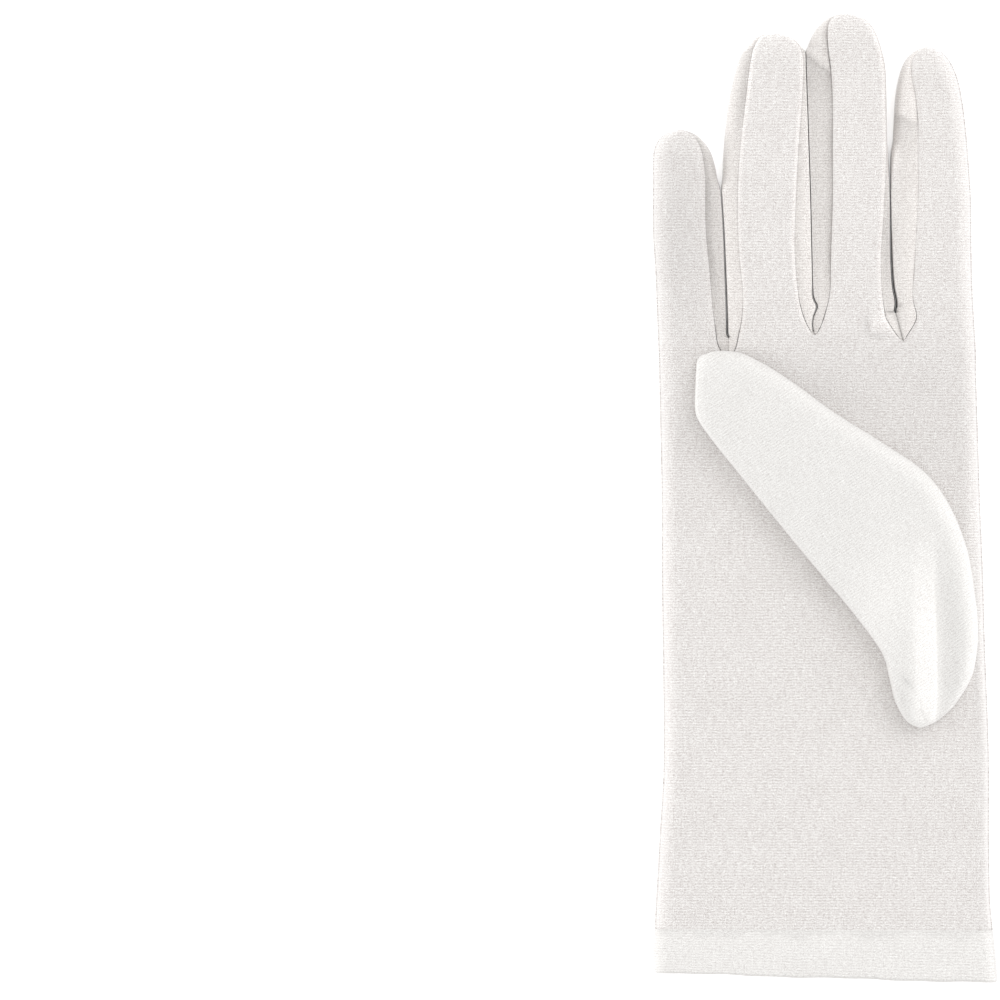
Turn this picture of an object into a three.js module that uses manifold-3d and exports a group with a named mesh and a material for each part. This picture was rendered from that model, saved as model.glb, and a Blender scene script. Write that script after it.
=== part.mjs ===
// A wrist length dress glove for the right hand, lying flat with its palm up
// and its thumb folded over the palm. Millimetres, +Z up, fingers towards +Y.
// The cloth is a hollow wall all round: a palm panel, a back panel, three
// fourchettes between the fingers, a thumb and a turned hem round the mouth.

import * as THREE from 'three';
import { mergeVertices } from 'three/addons/utils/BufferGeometryUtils.js';
import Module from 'manifold-3d';

const wasm = await Module();
wasm.setup();

// Cloth
const cloth = 1.0;
const seamGap = 0.3;
const seamHeight = 1.3;
const hemCloth = 1.5;

// Hand, from the finger line down to the mouth
const palmHeight = 8.0;
const bodyLength = 157.5;
const cuffWidth = 85.9;
const cuffSlant = 2.6;
const hemDepth = 12.0;
const crotchDent = 1.2;
const crotchDentRadius = 7.0;

// Fingers, from the little finger side to the index side
const fingerHeight = 7.4;
const fingerGap = 0.5;
const tipRound = 7.0;
const littleWidth = 17.0;
const littleLength = 54.8;
const ringWidth = 21.0;
const ringLength = 78.9;
const middleWidth = 20.9;
const middleLength = 83.9;
const indexWidth = 19.0;
const indexLength = 75.5;

// How far each crotch stands above the finger line
const littleRingCrotch = -0.3;
const ringMiddleCrotch = 4.2;
const middleIndexCrotch = 2.7;
const webWidth = 10.0;
const webDepth = 6.0;

// Thumb, folded over the palm: its base lies this far out from the middle
// of the hand and this far below the finger line
const thumbLength = 108.7;
const thumbWidth = 37.0;
const thumbHeight = 7.4;
const thumbBaseOut = 27.0;
const thumbBaseDrop = 95.2;
const thumbTurn = 33.4;
const thumbHoleWidth = 16.0;
const thumbHoleLength = 42.0;
const thumbHoleRise = 29.0;

// Shape of a section, mostly as shares: the rounded corner below, the
// shoulder above, the bulge of the side between them, and how far in a
// hollow's shoulder stands for each wall of cloth
const cornerWidth = 2.2;
const cornerTuck = 0.3;
const cornerRise = 0.45;
const shoulderShare = 0.84;
const shoulderInset = 0.7;
const bulgeAcross = 0.32;
const bulgeUp = 0.62;
const fingerCrownSteps = 4;
const handCrownSteps = 14;
const thumbCrownSteps = 10;

// A closed end keeps this many walls of cloth, and a hollow is left out where
// the piece is under this many walls high
const endWalls = 1.6;
const leastWallsHigh = 3.0;

// Shares of a finger: how full its very tip still is, how far up its
// fourchettes run and how far to its side they may be cut
const tipFullness = 0.3;
const fourchetteLengthShare = 0.985;
const fourchetteReach = 0.62;
const crotchPointWalls = 0.5;

const clothColour = '#efedea';
const fourchetteColour = '#e2dfdb';

// Each row of a finger: along is a share of its length from the finger line,
// and the others are shares of its width from its middle. seamLeft and
// seamRight are where the palm panel ends, left and right the outer edges.
const littleRows = [
  { along: -0.13, left: -0.485, seamLeft: -0.32, seamRight: 0.34, right: 0.510 },
  { along: 0.01, left: -0.500, seamLeft: -0.33, seamRight: 0.36, right: 0.505 },
  { along: 0.18, left: -0.522, seamLeft: -0.35, seamRight: 0.30, right: 0.495 },
  { along: 0.36, left: -0.545, seamLeft: -0.36, seamRight: 0.25, right: 0.475 },
  { along: 0.53, left: -0.580, seamLeft: -0.39, seamRight: 0.20, right: 0.455 },
  { along: 0.67, left: -0.582, seamLeft: -0.39, seamRight: 0.19, right: 0.420 },
  { along: 0.77, left: -0.582, seamLeft: -0.39, seamRight: 0.19, right: 0.375 },
  { along: 0.86, left: -0.580, seamLeft: -0.39, seamRight: 0.16, right: 0.315 },
  { along: 0.91, left: -0.560, seamLeft: -0.38, seamRight: 0.12, right: 0.250 },
  { along: 0.95, left: -0.500, seamLeft: -0.36, seamRight: 0.06, right: 0.150 },
  { along: 0.98, left: -0.400, seamLeft: -0.31, seamRight: -0.03, right: 0.040 },
  { along: 1.00, left: -0.270, seamLeft: -0.23, seamRight: -0.14, right: -0.090 },
];
const ringRows = [
  { along: -0.09, left: -0.508, seamLeft: -0.36, seamRight: 0.36, right: 0.520 },
  { along: 0.01, left: -0.506, seamLeft: -0.39, seamRight: 0.42, right: 0.515 },
  { along: 0.09, left: -0.508, seamLeft: -0.34, seamRight: 0.38, right: 0.505 },
  { along: 0.18, left: -0.518, seamLeft: -0.33, seamRight: 0.33, right: 0.494 },
  { along: 0.32, left: -0.540, seamLeft: -0.38, seamRight: 0.29, right: 0.482 },
  { along: 0.49, left: -0.568, seamLeft: -0.39, seamRight: 0.32, right: 0.470 },
  { along: 0.63, left: -0.554, seamLeft: -0.36, seamRight: 0.34, right: 0.452 },
  { along: 0.77, left: -0.500, seamLeft: -0.30, seamRight: 0.355, right: 0.436 },
  { along: 0.88, left: -0.410, seamLeft: -0.25, seamRight: 0.36, right: 0.424 },
  { along: 0.94, left: -0.325, seamLeft: -0.21, seamRight: 0.34, right: 0.402 },
  { along: 0.98, left: -0.210, seamLeft: -0.14, seamRight: 0.23, right: 0.290 },
  { along: 1.00, left: -0.080, seamLeft: -0.04, seamRight: 0.11, right: 0.150 },
];
const middleRows = [
  { along: -0.09, left: -0.520, seamLeft: -0.36, seamRight: 0.36, right: 0.510 },
  { along: 0.01, left: -0.515, seamLeft: -0.41, seamRight: 0.39, right: 0.510 },
  { along: 0.09, left: -0.502, seamLeft: -0.37, seamRight: 0.35, right: 0.480 },
  { along: 0.17, left: -0.510, seamLeft: -0.31, seamRight: 0.31, right: 0.435 },
  { along: 0.28, left: -0.518, seamLeft: -0.30, seamRight: 0.30, right: 0.404 },
  { along: 0.44, left: -0.536, seamLeft: -0.28, seamRight: 0.30, right: 0.392 },
  { along: 0.59, left: -0.556, seamLeft: -0.28, seamRight: 0.32, right: 0.392 },
  { along: 0.74, left: -0.580, seamLeft: -0.28, seamRight: 0.32, right: 0.382 },
  { along: 0.83, left: -0.596, seamLeft: -0.30, seamRight: 0.30, right: 0.362 },
  { along: 0.89, left: -0.584, seamLeft: -0.33, seamRight: 0.25, right: 0.314 },
  { along: 0.945, left: -0.495, seamLeft: -0.34, seamRight: 0.16, right: 0.235 },
  { along: 0.98, left: -0.365, seamLeft: -0.30, seamRight: 0.06, right: 0.125 },
  { along: 1.00, left: -0.215, seamLeft: -0.17, seamRight: -0.08, right: -0.030 },
];
const indexRows = [
  { along: -0.09, left: -0.510, seamLeft: -0.34, seamRight: 0.36, right: 0.520 },
  { along: 0.01, left: -0.518, seamLeft: -0.42, seamRight: 0.34, right: 0.507 },
  { along: 0.09, left: -0.533, seamLeft: -0.32, seamRight: 0.32, right: 0.487 },
  { along: 0.19, left: -0.566, seamLeft: -0.33, seamRight: 0.30, right: 0.467 },
  { along: 0.31, left: -0.592, seamLeft: -0.30, seamRight: 0.30, right: 0.454 },
  { along: 0.49, left: -0.605, seamLeft: -0.26, seamRight: 0.29, right: 0.447 },
  { along: 0.64, left: -0.605, seamLeft: -0.26, seamRight: 0.26, right: 0.408 },
  { along: 0.75, left: -0.586, seamLeft: -0.26, seamRight: 0.22, right: 0.368 },
  { along: 0.83, left: -0.556, seamLeft: -0.29, seamRight: 0.18, right: 0.325 },
  { along: 0.90, left: -0.508, seamLeft: -0.34, seamRight: 0.13, right: 0.262 },
  { along: 0.95, left: -0.435, seamLeft: -0.34, seamRight: 0.06, right: 0.170 },
  { along: 0.98, left: -0.330, seamLeft: -0.26, seamRight: -0.03, right: 0.065 },
  { along: 1.00, left: -0.210, seamLeft: -0.17, seamRight: -0.10, right: -0.060 },
];

// Each row of the hand: along is a share of its length from the mouth up,
// flare a share of the way from the hand's width to the cuff's, lean the
// shift of its middle as a share of the hand's width, height a share of the
// palm's height and slant a share of the mouth's slant.
const bodyRows = [
  { along: 0.00, flare: 1.00, lean: 0.029, height: 0.96, slant: 1.0 },
  { along: 0.04, flare: 0.93, lean: 0.024, height: 0.98, slant: 0.5 },
  { along: 0.08, flare: 0.80, lean: 0.022, height: 0.98, slant: 0.1 },
  { along: 0.12, flare: 0.67, lean: 0.020, height: 0.98, slant: 0.0 },
  { along: 0.17, flare: 0.57, lean: 0.022, height: 0.98, slant: 0.0 },
  { along: 0.24, flare: 0.46, lean: 0.025, height: 1.00, slant: 0.0 },
  { along: 0.32, flare: 0.35, lean: 0.030, height: 1.00, slant: 0.0 },
  { along: 0.40, flare: 0.29, lean: 0.029, height: 1.00, slant: 0.0 },
  { along: 0.52, flare: 0.21, lean: 0.023, height: 1.00, slant: 0.0 },
  { along: 0.64, flare: 0.17, lean: 0.018, height: 1.00, slant: 0.0 },
  { along: 0.76, flare: 0.06, lean: 0.013, height: 1.00, slant: 0.0 },
  { along: 0.86, flare: 0.03, lean: 0.008, height: 0.99, slant: 0.0 },
  { along: 0.94, flare: 0.01, lean: 0.004, height: 0.97, slant: 0.0 },
  { along: 1.00, flare: 0.00, lean: 0.001, height: 0.93, slant: 0.0 },
];
const bodyRoll = 3.6;
const pastMouth = 5.0;

// Each row of the thumb: along is a share of its length from its base, left
// and right are shares of its width from its base point, and height a share
// of its height.
const thumbRows = [
  { along: 0.00, left: 0.04, right: 0.14, height: 0.45 },
  { along: 0.01, left: -0.01, right: 0.22, height: 0.72 },
  { along: 0.04, left: -0.07, right: 0.41, height: 0.94 },
  { along: 0.09, left: -0.06, right: 0.565, height: 1.00 },
  { along: 0.14, left: -0.015, right: 0.68, height: 1.00 },
  { along: 0.20, left: 0.035, right: 0.785, height: 1.00 },
  { along: 0.30, left: 0.025, right: 0.91, height: 1.00 },
  { along: 0.41, left: -0.01, right: 0.97, height: 1.00 },
  { along: 0.50, left: -0.04, right: 0.945, height: 1.00 },
  { along: 0.61, left: -0.073, right: 0.812, height: 1.00 },
  { along: 0.72, left: -0.103, right: 0.665, height: 0.98 },
  { along: 0.82, left: -0.13, right: 0.555, height: 0.95 },
  { along: 0.885, left: -0.132, right: 0.473, height: 0.92 },
  { along: 0.92, left: -0.083, right: 0.42, height: 0.88 },
  { along: 0.955, left: -0.01, right: 0.355, height: 0.80 },
  { along: 0.985, left: 0.055, right: 0.25, height: 0.66 },
  { along: 1.00, left: 0.085, right: 0.15, height: 0.40 },
];
const thumbRoll = 3.4;

// Folds at the thumb's base, from its base point: a ridge, the valley beside
// it and a dent. across and up place the middle, wide and long are the
// reach each way, all shares of the thumb's width, and rise is a share of
// its height.
const thumbFolds = [
  { across: 0.02, up: 0.58, wide: 0.07, long: 0.45, rise: 0.14 },
  { across: 0.14, up: 0.68, wide: 0.06, long: 0.40, rise: -0.20 },
  { across: -0.17, up: 0.31, wide: 0.10, long: 0.13, rise: -0.12 },
];

// A closed mesh becomes a solid once only its merged positions are left.
function solidOf(geometry) {
  geometry.deleteAttribute('normal');
  geometry.deleteAttribute('uv');
  const merged = mergeVertices(geometry, 1e-5);
  return new wasm.Manifold(new wasm.Mesh({
    numProp: 3,
    vertProperties: new Float32Array(merged.attributes.position.array),
    triVerts: new Uint32Array(merged.index.array),
  }));
}

// An upright prism over an outline in X and Y, from one height to another.
function prism(outline, floor, ceiling) {
  const shape = new THREE.Shape(outline);
  const geometry = new THREE.ExtrudeGeometry(shape, { depth: ceiling - floor, bevelEnabled: false });
  geometry.translate(0, 0, floor);
  return solidOf(geometry);
}

// Sections of the same number of points, joined in turn towards +Y and
// closed at both ends.
function loft(sections, matrix = new THREE.Matrix4()) {
  const count = sections[0].length;
  const positions = [];
  const indices = [];
  const addPoint = (point) => positions.push(...point.clone().applyMatrix4(matrix).toArray());
  sections.flat().forEach(addPoint);
  for (let row = 0; row < sections.length - 1; row += 1) {
    for (let i = 0; i < count; i += 1) {
      const near = row * count + i;
      const nearNext = row * count + (i + 1) % count;
      indices.push(near, near + count, nearNext);
      indices.push(nearNext, near + count, nearNext + count);
    }
  }
  const closeEnd = (section, start, facesBack) => {
    const middle = new THREE.Vector3();
    section.forEach((point) => middle.addScaledVector(point, 1 / count));
    const hub = positions.length / 3;
    addPoint(middle);
    for (let i = 0; i < count; i += 1) {
      const here = start + i;
      const next = start + (i + 1) % count;
      indices.push(hub, facesBack ? here : next, facesBack ? next : here);
    }
  };
  closeEnd(sections[0], 0, true);
  closeEnd(sections.at(-1), (sections.length - 1) * count, false);
  const geometry = new THREE.BufferGeometry();
  geometry.setAttribute('position', new THREE.Float32BufferAttribute(positions, 3));
  geometry.setIndex(indices);
  return solidOf(geometry);
}

// Rows between the rows of a table, each column on one smooth curve.
function smoothRows(rows, steps) {
  const columns = Object.keys(rows[0]);
  const result = [];
  const at = (index) => rows[THREE.MathUtils.clamp(index, 0, rows.length - 1)];
  const blend = (before, from, to, after, t) => {
    const startSlope = (to - before) / 2;
    const endSlope = (after - from) / 2;
    const cubic = 2 * (from - to) + startSlope + endSlope;
    const square = 3 * (to - from) - 2 * startSlope - endSlope;
    return ((cubic * t + square) * t + startSlope) * t + from;
  };
  for (let index = 0; index < rows.length - 1; index += 1) {
    for (let step = 0; step < steps; step += 1) {
      const row = {};
      for (const name of columns) {
        const values = [-1, 0, 1, 2].map((shift) => at(index + shift)[name]);
        row[name] = blend(...values, step / steps);
      }
      result.push(row);
    }
  }
  result.push(rows.at(-1));
  return result;
}

// One section across a sleeve of cloth lying flat. Its widest points are on
// the seam's height. inset moves the whole outline inwards by a wall.
function sleeveSection({ left, right, shoulderLeft, shoulderRight, low, top, crownSteps, inset }) {
  const { lerp } = THREE.MathUtils;
  const l = left + inset;
  const r = right - inset;
  const sl = Math.min(shoulderLeft + shoulderInset * inset, lerp(l, r, 0.4));
  const sr = Math.max(shoulderRight - shoulderInset * inset, lerp(l, r, 0.6));
  const bottom = low + inset;
  const crown = top - inset;
  const shoulder = lerp(seamHeight, crown, shoulderShare);
  const corner = Math.min(cornerWidth, (r - l) / 4);
  const points = [
    [l + corner, bottom],
    [r - corner, bottom],
    [r - cornerTuck * corner, lerp(bottom, seamHeight, cornerRise)],
    [r, seamHeight],
    [lerp(r, sr, bulgeAcross), lerp(seamHeight, shoulder, bulgeUp)],
    [sr, shoulder],
  ];
  for (let step = 1; step < crownSteps; step += 1) {
    const share = step / crownSteps;
    points.push([lerp(sr, sl, share), lerp(shoulder, crown, Math.sin(Math.PI * share))]);
  }
  points.push(
    [sl, shoulder],
    [lerp(l, sl, bulgeAcross), lerp(seamHeight, shoulder, bulgeUp)],
    [l, seamHeight],
    [l + cornerTuck * corner, lerp(bottom, seamHeight, cornerRise)],
  );
  return points.map(([x, z]) => new THREE.Vector3(x, 0, z));
}

// How full a rounded end is at a distance from its tip: 0 at the tip itself.
function roundness(distance, reach) {
  const share = THREE.MathUtils.clamp(distance / reach, 0, 1);
  return Math.sqrt(1 - (1 - share) ** 2);
}

// The fingers side by side, each with its middle line.
const fingers = [
  { name: 'little', width: littleWidth, length: littleLength, rows: littleRows },
  { name: 'ring', width: ringWidth, length: ringLength, rows: ringRows },
  { name: 'middle', width: middleWidth, length: middleLength, rows: middleRows },
  { name: 'index', width: indexWidth, length: indexLength, rows: indexRows },
];
const crotches = [littleRingCrotch, ringMiddleCrotch, middleIndexCrotch];
const handWidth = fingers.reduce((sum, finger) => sum + finger.width, 0) + crotches.length * fingerGap;
let fingerEdge = -handWidth / 2;
for (const finger of fingers) {
  finger.middle = fingerEdge + finger.width / 2;
  finger.edge = fingerEdge + finger.width + fingerGap / 2;
  fingerEdge += finger.width + fingerGap;
}

// A finger's solid, or the hollow within it for a wall of cloth.
function fingerSolid(finger, inset, lift) {
  const sections = [];
  for (const row of smoothRows(finger.rows, inset > 0 ? 1 : 2)) {
    const y = row.along * finger.length;
    const full = Math.max(roundness(finger.length - y, tipRound), tipFullness);
    const low = seamHeight * (1 - full);
    const top = seamHeight + (fingerHeight - seamHeight) * full;
    const wallsLeft = finger.length - y >= endWalls * inset && top - low >= leastWallsHigh * inset;
    if (wallsLeft) {
      const section = sleeveSection({
        left: finger.middle + row.left * finger.width,
        right: finger.middle + row.right * finger.width,
        shoulderLeft: finger.middle + row.seamLeft * finger.width,
        shoulderRight: finger.middle + row.seamRight * finger.width,
        low,
        top,
        crownSteps: fingerCrownSteps,
        inset,
      });
      section.forEach((point) => point.setY(y));
      sections.push(section);
    }
  }
  return loft(sections, new THREE.Matrix4().makeTranslation(0, 0, lift));
}

// The palm dips softly between the fingers.
function palmRelief(x, y) {
  let rise = 0;
  crotches.forEach((crotch, index) => {
    const away = Math.hypot(x - fingers[index].edge, y - crotch) / crotchDentRadius;
    rise -= crotchDent * Math.exp(-(away ** 2));
  });
  return rise;
}

// The hand's solid, or its hollow, which runs out of the mouth and stops a
// wall short of the crotches.
function bodySolid(inset, lift) {
  const sections = bodyRows.map((row, index) => {
    const width = THREE.MathUtils.lerp(handWidth, cuffWidth, row.flare);
    const middle = row.lean * handWidth;
    let y = (row.along - 1) * bodyLength;
    if (index === 0 && inset > 0) {
      y -= pastMouth;
    }
    if (index === bodyRows.length - 1) {
      y -= inset;
    }
    const section = sleeveSection({
      left: middle - width / 2,
      right: middle + width / 2,
      shoulderLeft: middle - width / 2 + bodyRoll,
      shoulderRight: middle + width / 2 - bodyRoll,
      low: 0,
      top: palmHeight * row.height,
      crownSteps: handCrownSteps,
      inset,
    });
    section.forEach((point) => {
      point.setY(y - row.slant * cuffSlant * point.x / cuffWidth);
      if (point.z > seamHeight) {
        point.setZ(point.z + palmRelief(point.x, y));
      }
    });
    return section;
  });
  return loft(sections, new THREE.Matrix4().makeTranslation(0, 0, lift));
}

// The web that carries the hand up to one crotch, or the hollow under it.
function webSolid(index, inset, lift) {
  const { edge } = fingers[index];
  const ends = [-webDepth, crotches[index] - inset];
  const sections = ends.map((y) => sleeveSection({
    left: edge - webWidth / 2,
    right: edge + webWidth / 2,
    shoulderLeft: edge - webWidth / 4,
    shoulderRight: edge + webWidth / 4,
    low: 0,
    top: fingerHeight - crotchDent,
    crownSteps: 2,
    inset,
  }).map((point) => point.setY(y)));
  return loft(sections, new THREE.Matrix4().makeTranslation(0, 0, lift));
}

// The hand with its fingers: the whole outside, or the whole hollow.
function handSolid(inset, lift) {
  let solid = bodySolid(inset, lift);
  for (const finger of fingers) {
    solid = solid.add(fingerSolid(finger, inset, lift));
  }
  crotches.forEach((_, index) => {
    solid = solid.add(webSolid(index, inset, lift));
  });
  return solid;
}

// The thumb's place: its own length runs along its local Y.
const thumbBase = new THREE.Vector3(thumbBaseOut, -thumbBaseDrop, 0);
const thumbPlace = new THREE.Matrix4()
  .makeTranslation(thumbBase.x, thumbBase.y, 0)
  .multiply(new THREE.Matrix4().makeRotationZ(THREE.MathUtils.degToRad(thumbTurn)));

function thumbFoldRise(offset) {
  return thumbFolds.reduce((sum, fold) => {
    const across = (offset.x / thumbWidth - fold.across) / fold.wide;
    const up = (offset.y / thumbWidth - fold.up) / fold.long;
    return sum + fold.rise * thumbHeight * Math.exp(-(across ** 2) - up ** 4);
  }, 0);
}

// The thumb's solid, or its hollow. It reaches down into the palm, and is cut
// to seat on it afterwards.
function thumbSolid(inset) {
  const sections = [];
  const lift = palmHeight + seamGap - cloth;
  for (const row of smoothRows(thumbRows, inset > 0 ? 1 : 2)) {
    const y = row.along * thumbLength;
    const ends = Math.min(y, thumbLength - y);
    if (ends >= endWalls * inset) {
      const left = row.left * thumbWidth;
      const right = row.right * thumbWidth;
      const roll = Math.min(thumbRoll, (right - left) / 3);
      const section = sleeveSection({
        left,
        right,
        shoulderLeft: left + roll,
        shoulderRight: right - roll,
        low: 0,
        top: cloth + thumbHeight * row.height,
        crownSteps: thumbCrownSteps,
        inset,
      });
      section.forEach((point) => {
        point.setY(y);
        const offset = point.clone().applyMatrix4(thumbPlace).sub(thumbBase);
        if (point.z > seamHeight) {
          point.z += thumbFoldRise(offset);
        }
        point.z += lift;
      });
      sections.push(section);
    }
  }
  return loft(sections, thumbPlace);
}

// The oval where the thumb opens into the hand, as an upright prism.
function thumbHole() {
  const oval = new THREE.EllipseCurve(
    thumbBase.x,
    thumbBase.y + thumbHoleRise,
    thumbHoleWidth / 2,
    thumbHoleLength / 2,
  );
  const sides = 24;
  return prism(oval.getPoints(sides).slice(0, sides), seamHeight, palmHeight + thumbHeight / 2);
}

// The strip between two fingers, seen from above: down one finger's seam to
// the crotch, up the other's, and round the tip of the shorter finger. grow
// widens it by the seam's gap.
function fourchetteOutline(index, grow) {
  const [before, after] = [fingers[index], fingers[index + 1]];
  const seamPoints = (finger, column, shift) => smoothRows(finger.rows, 2)
    .map((row) => new THREE.Vector2(
      finger.middle + row[column] * finger.width + shift,
      row.along * finger.length,
    ))
    .filter((point) => point.y > crotches[index] + cloth && point.y < fourchetteLengthShare * finger.length);
  const down = seamPoints(before, 'seamRight', -grow).reverse();
  const up = seamPoints(after, 'seamLeft', grow);
  const topBefore = new THREE.Vector2(down[0].x, down[0].y + grow);
  const topAfter = new THREE.Vector2(up.at(-1).x, up.at(-1).y + grow);
  const freeSide = topAfter.y > topBefore.y
    ? after.middle - fourchetteReach * after.width
    : before.middle + fourchetteReach * before.width;
  return [
    topBefore,
    ...down,
    new THREE.Vector2(before.edge, crotches[index] - crotchPointWalls * cloth - 2 * grow),
    ...up,
    topAfter,
    new THREE.Vector2(freeSide, topAfter.y),
    new THREE.Vector2(freeSide, topBefore.y),
  ];
}

// A block as wide as the whole glove between two places along it and two
// heights.
function slab({ back = -2 * bodyLength, front = bodyLength, floor = -cloth, ceiling = 3 * palmHeight }) {
  const corners = [[-cuffWidth, back], [cuffWidth, back], [cuffWidth, front], [-cuffWidth, front]];
  return prism(corners.map(([x, y]) => new THREE.Vector2(x, y)), floor, ceiling);
}

// The wall of cloth is everything outside less everything inside, cut along
// its seams.
const hemTop = hemDepth - bodyLength;
const outside = handSolid(0, 0);
const handWall = outside.subtract(handSolid(cloth, 0)).intersect(slab({ back: hemTop + seamGap }));
const aboveSeam = slab({ floor: seamHeight + seamGap / 2 });
const belowSeam = slab({ ceiling: seamHeight - seamGap / 2 });

function fourchettePrism(index, grow) {
  return prism(fourchetteOutline(index, grow), seamHeight, 2 * palmHeight);
}

function palmPanel() {
  const hole = thumbHole();
  return crotches.reduce(
    (panel, _, index) => panel.subtract(fourchettePrism(index, seamGap)),
    handWall.intersect(aboveSeam).subtract(hole),
  );
}

function backPanel() {
  return handWall.intersect(belowSeam);
}

function fourchette(index) {
  return handWall.intersect(aboveSeam).intersect(fourchettePrism(index, 0));
}

// The hem is the cloth turned in on itself, a thicker ring round the mouth.
function hem() {
  return bodySolid(0, 0).subtract(bodySolid(hemCloth, 0)).intersect(slab({ front: hemTop }));
}

// The thumb seats on the palm all along, a seam's gap above it.
function thumb() {
  const skin = thumbSolid(0).subtract(handSolid(0, seamGap));
  const hollow = thumbSolid(cloth).subtract(handSolid(0, seamGap + cloth));
  return skin.subtract(hollow).subtract(thumbHole());
}

const glove = new THREE.Group();

function addPiece(name, solid, colour) {
  const mesh = solid.getMesh();
  const geometry = new THREE.BufferGeometry();
  geometry.setAttribute('position', new THREE.BufferAttribute(mesh.vertProperties, 3));
  geometry.setIndex(new THREE.BufferAttribute(mesh.triVerts, 1));
  geometry.computeVertexNormals();
  const material = new THREE.MeshStandardMaterial({ color: colour, roughness: 0.85, metalness: 0 });
  const piece = new THREE.Mesh(geometry, material);
  piece.name = name;
  glove.add(piece);
}

addPiece('palm_panel', palmPanel(), clothColour);
addPiece('back_panel', backPanel(), clothColour);
crotches.forEach((_, index) => {
  const name = `fourchette_${fingers[index].name}_${fingers[index + 1].name}`;
  addPiece(name, fourchette(index), fourchetteColour);
});
addPiece('thumb', thumb(), clothColour);
addPiece('hem', hem(), clothColour);

// The origin is below the middle of the whole glove, on the surface it lies on
const extent = new THREE.Box3().setFromObject(glove);
const middle = extent.getCenter(new THREE.Vector3());
glove.position.set(-middle.x, -middle.y, -extent.min.z);

export default glove;
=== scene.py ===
"""A wrist length dress glove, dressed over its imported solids.

Lengths are in metres. The glove's own lines are laid out from the middle of
the hand at the finger line, with the fingers towards +Y and the palm up, and
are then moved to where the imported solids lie.
"""

import math
from collections import namedtuple

import bmesh
import bpy
import numpy as np
from bpy.props import FloatProperty, FloatVectorProperty, PointerProperty
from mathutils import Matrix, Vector


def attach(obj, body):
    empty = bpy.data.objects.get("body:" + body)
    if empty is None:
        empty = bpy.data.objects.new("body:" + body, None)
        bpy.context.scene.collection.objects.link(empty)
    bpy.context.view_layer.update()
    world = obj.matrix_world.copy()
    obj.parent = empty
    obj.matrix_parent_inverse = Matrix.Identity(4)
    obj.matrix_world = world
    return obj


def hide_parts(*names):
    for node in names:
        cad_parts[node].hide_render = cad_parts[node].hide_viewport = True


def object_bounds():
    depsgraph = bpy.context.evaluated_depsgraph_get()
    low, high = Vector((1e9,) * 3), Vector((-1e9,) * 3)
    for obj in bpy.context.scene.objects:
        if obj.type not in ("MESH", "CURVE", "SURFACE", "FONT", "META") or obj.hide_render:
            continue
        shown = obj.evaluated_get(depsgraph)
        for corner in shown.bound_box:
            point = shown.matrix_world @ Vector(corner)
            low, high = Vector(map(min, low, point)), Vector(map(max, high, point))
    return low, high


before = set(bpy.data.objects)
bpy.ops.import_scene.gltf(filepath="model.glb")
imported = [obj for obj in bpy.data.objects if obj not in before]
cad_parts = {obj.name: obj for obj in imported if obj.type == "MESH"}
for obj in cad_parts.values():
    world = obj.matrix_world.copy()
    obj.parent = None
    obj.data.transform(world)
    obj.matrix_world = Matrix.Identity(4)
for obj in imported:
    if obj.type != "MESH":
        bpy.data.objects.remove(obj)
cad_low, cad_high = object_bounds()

bl_info = {
    "name": "Wrist Length Dress Glove",
    "version": (1, 0, 0),
    "blender": (4, 5, 0),
    "location": "View3D > Sidebar > Glove",
    "description": "Dresses a dress glove that lies flat, palm up, with its thumb folded over",
    "category": "Add Mesh",
}

MM = 0.001

# Fingers, from the little finger to the index. Each row of a finger: a share
# of its length from the finger line, then shares of its width from its
# middle: left edge, left seam, right seam, right edge.
LITTLE_ROWS = (
    (-0.13, -0.485, -0.32, 0.34, 0.510),
    (0.01, -0.500, -0.33, 0.36, 0.505),
    (0.18, -0.522, -0.35, 0.30, 0.495),
    (0.36, -0.545, -0.36, 0.25, 0.475),
    (0.53, -0.580, -0.39, 0.20, 0.455),
    (0.67, -0.582, -0.39, 0.19, 0.420),
    (0.77, -0.582, -0.39, 0.19, 0.375),
    (0.86, -0.580, -0.39, 0.16, 0.315),
    (0.91, -0.560, -0.38, 0.12, 0.250),
    (0.95, -0.500, -0.36, 0.06, 0.150),
    (0.98, -0.400, -0.31, -0.03, 0.040),
    (1.00, -0.270, -0.23, -0.14, -0.090),
)
RING_ROWS = (
    (-0.09, -0.508, -0.36, 0.36, 0.520),
    (0.01, -0.506, -0.39, 0.42, 0.515),
    (0.09, -0.508, -0.34, 0.38, 0.505),
    (0.18, -0.518, -0.33, 0.33, 0.494),
    (0.32, -0.540, -0.38, 0.29, 0.482),
    (0.49, -0.568, -0.39, 0.31, 0.470),
    (0.63, -0.554, -0.36, 0.335, 0.452),
    (0.77, -0.500, -0.30, 0.375, 0.436),
    (0.88, -0.410, -0.25, 0.395, 0.424),
    (0.94, -0.325, -0.21, 0.375, 0.402),
    (0.98, -0.210, -0.14, 0.265, 0.290),
    (1.00, -0.080, -0.04, 0.11, 0.150),
)
MIDDLE_ROWS = (
    (-0.09, -0.520, -0.36, 0.36, 0.510),
    (0.01, -0.515, -0.41, 0.39, 0.510),
    (0.09, -0.502, -0.37, 0.35, 0.480),
    (0.17, -0.510, -0.31, 0.31, 0.435),
    (0.28, -0.518, -0.30, 0.30, 0.404),
    (0.44, -0.536, -0.28, 0.34, 0.392),
    (0.59, -0.556, -0.28, 0.36, 0.380),
    (0.74, -0.580, -0.28, 0.35, 0.370),
    (0.83, -0.596, -0.30, 0.34, 0.360),
    (0.89, -0.584, -0.33, 0.292, 0.314),
    (0.945, -0.495, -0.34, 0.213, 0.235),
    (0.98, -0.365, -0.30, 0.105, 0.125),
    (1.00, -0.215, -0.17, -0.045, -0.030),
)
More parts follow.
